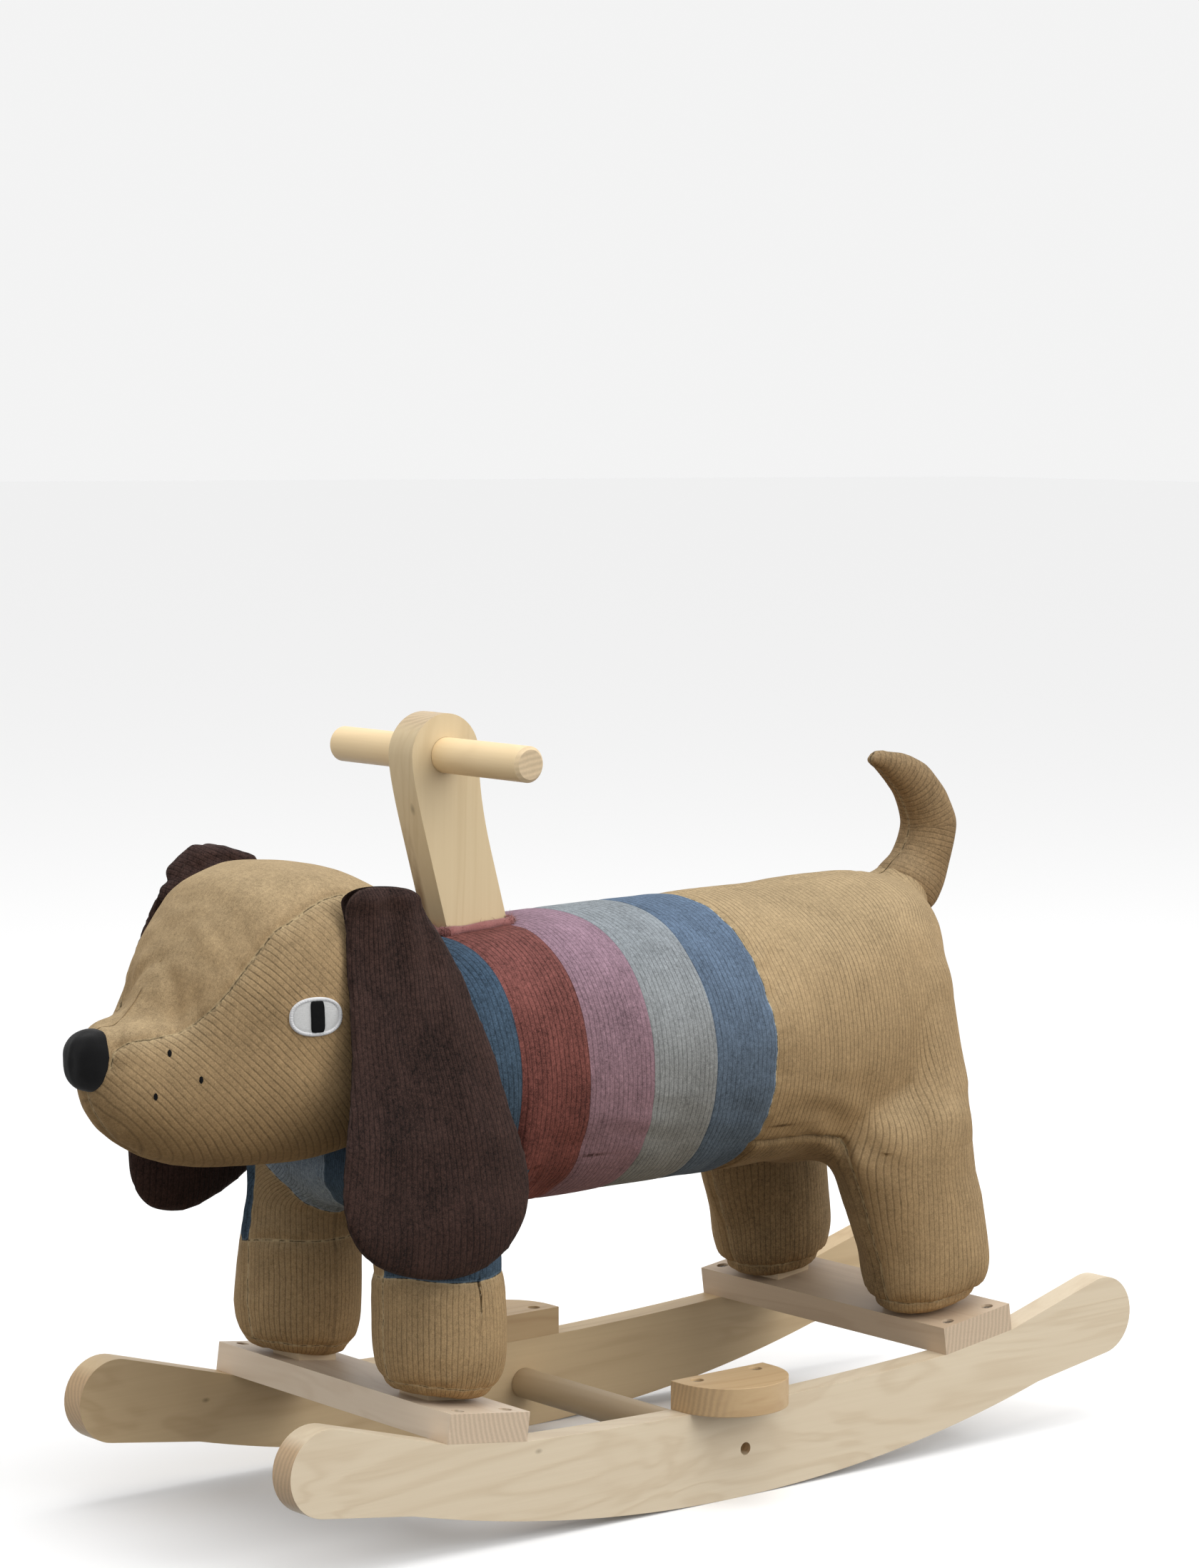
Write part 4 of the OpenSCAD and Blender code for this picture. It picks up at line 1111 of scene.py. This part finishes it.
# nose: a stuffed felt cap with a soft ridge
nose_lo, nose_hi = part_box("nose")
bm = bmesh.new()
bmesh.ops.create_icosphere(bm, subdivisions=5, radius=1)
mid = (nose_lo + nose_hi) / 2
for v in bm.verts:
    d = v.co.copy()
    d /= sum(abs(t) ** 2.5 for t in d) ** (1 / 2.5)
    w = 1 + 0.03 * noise.noise(d * 2.2)
    ridge = 0.03 * math.exp(-(d.x / 0.12) ** 2) * (d.y < 0)
    v.co = (mid.x + d.x * 0.0168 * w, nose_lo.y + 0.0200 + d.y * 0.0166 * (w + ridge), mid.z + d.z * 0.0180 * w)
o = new_object("nose_felt", to_mesh(bm, "nose"))
finish_piece(o, M["nose"], "base", ["nose"])

# ---------------------------------------------------------------- ears
# Outlines along Y and Z, and how far out an ear hangs by height: the left lies flat, the right stands off
EARS = {
    1: ([(-0.2735, 0.39), (-0.2735, 0.375), (-0.2755, 0.352), (-0.279, 0.323), (-0.283, 0.299),
         (-0.29, 0.274), (-0.2985, 0.246), (-0.302, 0.226), (-0.3005, 0.208), (-0.292, 0.193),
         (-0.277, 0.181), (-0.257, 0.173), (-0.237, 0.169), (-0.22, 0.169), (-0.204, 0.173),
         (-0.188, 0.182), (-0.176, 0.196), (-0.17, 0.212), (-0.17, 0.23), (-0.175, 0.248), (-0.18, 0.268),
         (-0.185, 0.298), (-0.193, 0.323), (-0.199, 0.344), (-0.207, 0.361), (-0.213, 0.371),
         (-0.22, 0.382), (-0.225, 0.391), (-0.236, 0.396), (-0.261, 0.397)],
        [(0.16, 0.118), (0.2, 0.118), (0.25, 0.112), (0.3, 0.099), (0.35, 0.085), (0.38, 0.08),
         (0.4, 0.079)]),
    -1: ([(-0.271, 0.399), (-0.278, 0.3895), (-0.2855, 0.3785), (-0.29, 0.3668), (-0.2945, 0.354),
          (-0.2978, 0.341), (-0.3, 0.321), (-0.301, 0.3), (-0.301, 0.26), (-0.299, 0.22), (-0.297, 0.202),
          (-0.29, 0.188), (-0.278, 0.18), (-0.256, 0.1773), (-0.229, 0.1846), (-0.207, 0.196),
          (-0.19, 0.215), (-0.18, 0.24), (-0.181, 0.277), (-0.187, 0.31), (-0.197, 0.344), (-0.21, 0.372),
          (-0.221, 0.394), (-0.236, 0.402), (-0.26, 0.404)],
         [(0.16, 0.118), (0.3, 0.117), (0.32, 0.114), (0.341, 0.11), (0.367, 0.106), (0.38, 0.102),
          (0.39, 0.098), (0.405, 0.094)]),
}


def spline(points, per):
    """A closed Catmull-Rom curve through points."""
    p = np.array(points, float)
    n, out = len(p), []
    for i in range(n):
        a, b, c_, d = p[i - 1], p[i], p[(i + 1) % n], p[(i + 2) % n]
        for k in range(per):
            t = k / per
            out.append(0.5 * (2 * b + (c_ - a) * t + (2 * a - 5 * b + 4 * c_ - d) * t * t
                              + (3 * b - a - 3 * c_ + d) * t ** 3))
    return np.array(out)

def inside(p, poly):
    x, y = p
    hit = False
    n = len(poly)
    for i in range(n):
        (x1, y1), (x2, y2) = poly[i], poly[i - 1]
        if (y1 > y) != (y2 > y) and x < (x2 - x1) * (y - y1) / (y2 - y1) + x1:
            hit = not hit
    return hit

def from_line(line, y, z):
    return float(np.min(np.hypot(line[:, 0] - y, line[:, 1] - z)))
def ear_x(side, z, y):
    """How far out the middle of an ear hangs."""
    lift, out = zip(*EARS[side][1])
    return np.interp(z, lift, out) + 0.003 * math.sin((y + 0.235) * 40)


def ear_outline_fill(line, step=0.0032):
    """A flat mesh inside a closed line in Y and Z: a square grid, and triangles between it and the line."""
    bm = bmesh.new()
    grid = {}
    for i, y in enumerate(np.arange(-0.312, -0.158, step)):
        for k, z in enumerate(np.arange(0.156, 0.406, step)):
            if inside((y, z), line) and from_line(line, y, z) > step * 0.55:
                grid[i, k] = bm.verts.new((y, z, 0))
    for i, k in grid:
        q = [grid.get(at) for at in ((i, k), (i + 1, k), (i + 1, k + 1), (i, k + 1))]
        if None not in q:
            bm.faces.new(q)
    rim = [bm.verts.new((p[0], p[1], 0)) for p in line]
    for a, b in zip(rim, rim[1:] + rim[:1]):
        bm.edges.new((a, b))
    bmesh.ops.delete(bm, geom=[v for v in bm.verts if not v.link_faces and v not in set(rim)], context="VERTS")
    bmesh.ops.triangle_fill(bm, use_beauty=True, use_dissolve=False,
                            edges=[e for e in bm.edges if e.is_boundary or e.is_wire])
    bm.verts.index_update()
    flat = [(v.co.x, v.co.y) for v in bm.verts]
    faces = [[v.index for v in f.verts] for f in bm.faces]
    bm.free()
    return flat, faces


def ear(side):
    """A thin stuffed flap: the flat mesh twice, bulged apart away from the outline."""
    s = "left" if side > 0 else "right"
    line = spline(EARS[side][0], 6)
    flat, flat_faces = ear_outline_fill(line)
    verts, wale, seam = [], [], []
    for face in (1, -1):
        for y, z in flat:
            d = from_line(line, y, z)
            thick = 0.0058 * (1 - math.exp(-d / 0.009)) + 0.0004 + 0.003 * math.exp(-((z - 0.392) / 0.006) ** 2)
            lumps = 0.0011 * noise.noise(Vector((y * 40, z * 26, 3 * side + face))) * min(1, d / 0.02)
            wave = 3 * noise.noise(Vector((y * 9, z * 9, side)))
            fold = 0.0024 * math.sin(y * 260 + wave) * math.exp(-(0.400 - z) / 0.05)
            verts.append((side * (ear_x(side, z, y) + face * (thick + lumps) + fold * min(1, d / 0.01)), y, z))
            # the ribs run down the ear and spread where it widens
            front = np.interp(z, [0.16, 0.21, 0.27, 0.38, 0.40], [-0.302, -0.303, -0.290, -0.275, -0.273])
            rear = np.interp(z, [0.16, 0.21, 0.27, 0.345, 0.40], [-0.170, -0.170, -0.180, -0.199, -0.224])
            wale.append((y - front) / (rear - front) * (0.118 - 0.030 * smooth(z, 0.30, 0.40)))
            seam.append(d)
    faces = []
    for f in flat_faces:
        faces += [f, [len(flat) + i for i in reversed(f)]]
    me = shell("ear_" + s, verts, faces, 0.0009, wale=wale, seam=seam, ribbed=np.ones(len(verts)))
    me.transform(STAND)
    o = new_object(f"ear_{s}_flap", me)
    finish_piece(o, M["brown"], "ear_" + s, ["ear_" + s])


for side in (1, -1):
    ear(side)

# the right ear is doubled over where it is sewn on: three soft rolls of the same cloth
bm = bmesh.new()
for roll in (((-0.0985, -0.2690, 0.3900, 0.0100), (-0.0935, -0.2600, 0.3975, 0.0108),
              (-0.0870, -0.2470, 0.3990, 0.0085), (-0.0800, -0.2330, 0.3960, 0.0060)),
             ((-0.0960, -0.2500, 0.4000, 0.0085), (-0.0960, -0.2360, 0.3975, 0.0072),
              (-0.0930, -0.2200, 0.3910, 0.0060)),
             ((-0.0960, -0.2800, 0.3790, 0.0070), (-0.0900, -0.2700, 0.3870, 0.0066),
              (-0.0790, -0.2520, 0.3915, 0.0056))):
    for p, q in zip(roll, roll[1:]):
        capsule(bm, (p[:3], p[3], q[:3], q[3]), 1)
fold = subdivided(remeshed(new_object("ear_fold", to_mesh(bm, "ear_fold")), 0.0017, 4))
me = fold.data.copy()
bpy.data.objects.remove(fold)
c = own(coords(me))
x, y, z = c.T
set_coords(me, coords(me) + normals(me) * (0.0009 * rough(x * 110, y * 110, z * 160))[:, None])
attribute(me, "wale", z + 0.6 * y)
attribute(me, "seam", np.full(len(c), 0.01))
attribute(me, "ribbed", np.full(len(c), 0.8))
finish_piece(new_object("ear_right_fold", me), M["brown"], "ear_right", ())

# ---------------------------------------------------------------- tail
TAIL = np.array([(0.244, 0.338), (0.250, 0.349), (0.258, 0.360), (0.266, 0.376), (0.270, 0.393), (0.264, 0.409),
                 (0.253, 0.423), (0.240, 0.432), (0.227, 0.438), (0.214, 0.4415)])
tail = biggest(remeshed(joined("tail_form", ["tail"]), 0.003, 8))
c = own(coords(tail.data))
subdivided(inflated(tail, np.maximum(bell(c[:, 0], 0.003), (c[:, 2] < 0.36) * 1.0), 0.002, 3.0, 12))
bm, c, nrm = opened(tail, [middle])
# how far along the tail each point is, for ribs that run round it
lengths = np.hypot(*(TAIL[1:] - TAIL[:-1]).T)
starts = np.cumsum(lengths) - lengths
best = np.full(len(c), np.inf)
along = np.zeros(len(c))
for i, (a, d) in enumerate(zip(TAIL, TAIL[1:] - TAIL[:-1])):
    first, last = i == 0, i == len(lengths) - 1
    t = np.clip(((c[:, 1:] - a) @ d) / (d @ d), -1 if first else 0, 2 if last else 1)
    away = np.hypot(*(c[:, 1:] - a - t[:, None] * d).T)
    near = away < best
    best[near] = away[near]
    along[near] = (starts[i] + t * lengths[i])[near]
seam = nearest(c, c[on(c[:, 0])])
lift = 0.0006 * rough(*c.T * 60) - 0.0010 * bell(seam, 0.0028) + 0.0022 * smooth(c[:, 2], 0.365, 0.400) \
    + 0.0020 * smooth(-c[:, 1], -0.225, -0.208)
closed(bm, c + nrm * lift[:, None], wale=along, seam=seam, ribbed=0.8)
o = new_object("tail_cloth", to_mesh(bm, "tail"))
finish_piece(o, M["tail"], "tail", ["tail"])

# ---------------------------------------------------------------- the cord round the post
back = surface([bpy.data.objects[n + "_cloth"] for n in ("collar", "stripe_red", "stripe_mauve")])


def on_back(x, y):
    hit = back.ray_cast(STAND @ Vector((x, y, 0.5)), STAND.to_3x3() @ Vector((0, 0, -1)))
    return hit[0] or STAND @ Vector((x, y, 0.358))


pipe_lo, pipe_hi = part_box("post_piping")
(_, y0, _), (_, y1, _) = own(np.array([[0, pipe_lo.y + 0.004, pipe_lo.z], [0, pipe_hi.y - 0.004, pipe_lo.z]]))
hx, corner = 0.0145, 0.004
CORD_UP = Vector((0, 0, 0.0014))
track = []
for cx, cy, a0 in ((hx, y1, 0), (-hx, y1, 90), (-hx, y0, 180), (hx, y0, 270)):
    for k in range(5):
        a = math.radians(a0 + 90 * k / 4)
        ox, oy = cx - math.copysign(corner, cx), cy - (corner if cy == y1 else -corner)
        track.append((ox + corner * math.cos(a), oy + corner * math.sin(a)))
loop = spline(track, 10)
verts = []
across = 14
cord = [on_back(px, py) for px, py in loop]
for i, p in enumerate(cord):
    ahead = (cord[(i + 1) % len(cord)] - cord[i - 1]).normalized()
    out = ahead.cross(Vector((0, 0, 1))).normalized()
    up = out.cross(ahead).normalized()
    for k in range(across):
        b = 2 * math.pi * k / across
        r = 0.0029 * (1 + 0.30 * noise.noise(Vector((i * 0.35, k * 0.7, 1))) + 0.16 * math.sin(i * 1.1))
        verts.append(p + CORD_UP + out * (r * math.cos(b)) + up * (r * math.sin(b)))
faces = tube_faces(len(cord), across)
# loose fibres standing out of it
for _ in range(1100):
    p = cord[random.randrange(len(cord))] + CORD_UP
    d = Vector((random.gauss(0, 1), random.gauss(0, 1), random.gauss(0.3, 0.8))).normalized()
    q = p + d * 0.0024
    stray = Vector((random.gauss(0, 0.5), random.gauss(0, 0.5), random.gauss(0, 0.5)))
    tip = q + (d + stray) * random.uniform(0.0012, 0.0030)
    w = d.orthogonal().normalized() * 0.00022
    b0 = len(verts)
    verts += [q + w, q - w * 0.5 + d.cross(w), q - w * 0.5 - d.cross(w), tip]
    faces += [[b0, b0 + 1, b0 + 3], [b0 + 1, b0 + 2, b0 + 3], [b0 + 2, b0, b0 + 3]]
me = bpy.data.meshes.new("piping")
me.from_pydata(verts, [], faces)
o = new_object("post_piping_cord", me)
finish_piece(o, M["rose"], "base", ["post_piping"])

# ---------------------------------------------------------------- studio
floor = bpy.data.meshes.new("floor")
floor.from_pydata([(-30, -30, 0), (30, -30, 0), (30, 30, 0), (-30, 30, 0)], [], [(0, 1, 2, 3)])
floor_o = new_object("studio_floor", floor)
fm = Nodes("studio_paper")
fm.shader.inputs["Base Color"].default_value = (0.97, 0.97, 0.97, 1)
fm.shader.inputs["Roughness"].default_value = 0.95
fm.shader.inputs["Specular IOR Level"].default_value = 0.0
floor.materials.append(fm.mat)
floor_o.visible_diffuse = False      # the sheet throws no light back on to the undersides


def lamp(name, at, look, size, power, colour=(1, 1, 1)):
    d = bpy.data.lights.new(name, "AREA")
    d.shape = "RECTANGLE"
    d.size = d.size_y = size
    d.energy = power
    d.color = colour
    o = bpy.data.objects.new(name, d)
    bpy.context.scene.collection.objects.link(o)
    o.location = at
    o.rotation_mode = "QUATERNION"
    o.rotation_quaternion = (Vector(look) - Vector(at)).to_track_quat("-Z", "Y")
    return o


lamp("overhead", (0.5, 0.0, 2.6), (0, 0, 0.2), 2.4, 34)
lamp("key_right", (2.6, 0.9, 1.5), (0, 0, 0.2), 1.8, 34)
sky = bpy.data.worlds.new("studio")
bpy.context.scene.world = sky
sky.use_nodes = True
wt = sky.node_tree
ground = wt.nodes.new("ShaderNodeSeparateXYZ")
wt.links.new(wt.nodes.new("ShaderNodeTexCoord").outputs["Generated"], ground.inputs[0])
fall = wt.nodes.new("ShaderNodeValToRGB")
lifted = wt.nodes.new("ShaderNodeMath")
lifted.inputs[1].default_value = 0.30
wt.links.new(ground.outputs["Z"], lifted.inputs[0])
wt.links.new(lifted.outputs[0], fall.inputs["Fac"])
fall.color_ramp.elements[0].position = 0.10
fall.color_ramp.elements[0].color = (0.10, 0.10, 0.10, 1)
fall.color_ramp.elements[1].position = 0.20
fall.color_ramp.elements[1].color = (0.90, 0.90, 0.90, 1)
wt.links.new(fall.outputs["Color"], wt.nodes["Background"].inputs[0])
wt.nodes["Background"].inputs[1].default_value = 1.0

cam = bpy.data.objects.new("camera", bpy.data.cameras.new("camera"))
bpy.context.scene.collection.objects.link(cam)
cam.data.lens = 95.06
cam.data.sensor_width = 36
az, el = math.radians(50.55), math.radians(5.53)
back_v = Vector((math.sin(az) * math.cos(el), -math.cos(az) * math.cos(el), math.sin(el)))
cam.rotation_mode = "QUATERNION"
cam.location = STAND @ Vector((2.0102, -1.6730, 0.6894))
cam.rotation_quaternion = STAND.to_3x3().to_quaternion() @ (-back_v).to_track_quat("-Z", "Y")
bpy.context.scene.camera = cam
bpy.context.scene.view_settings.view_transform = "Standard"
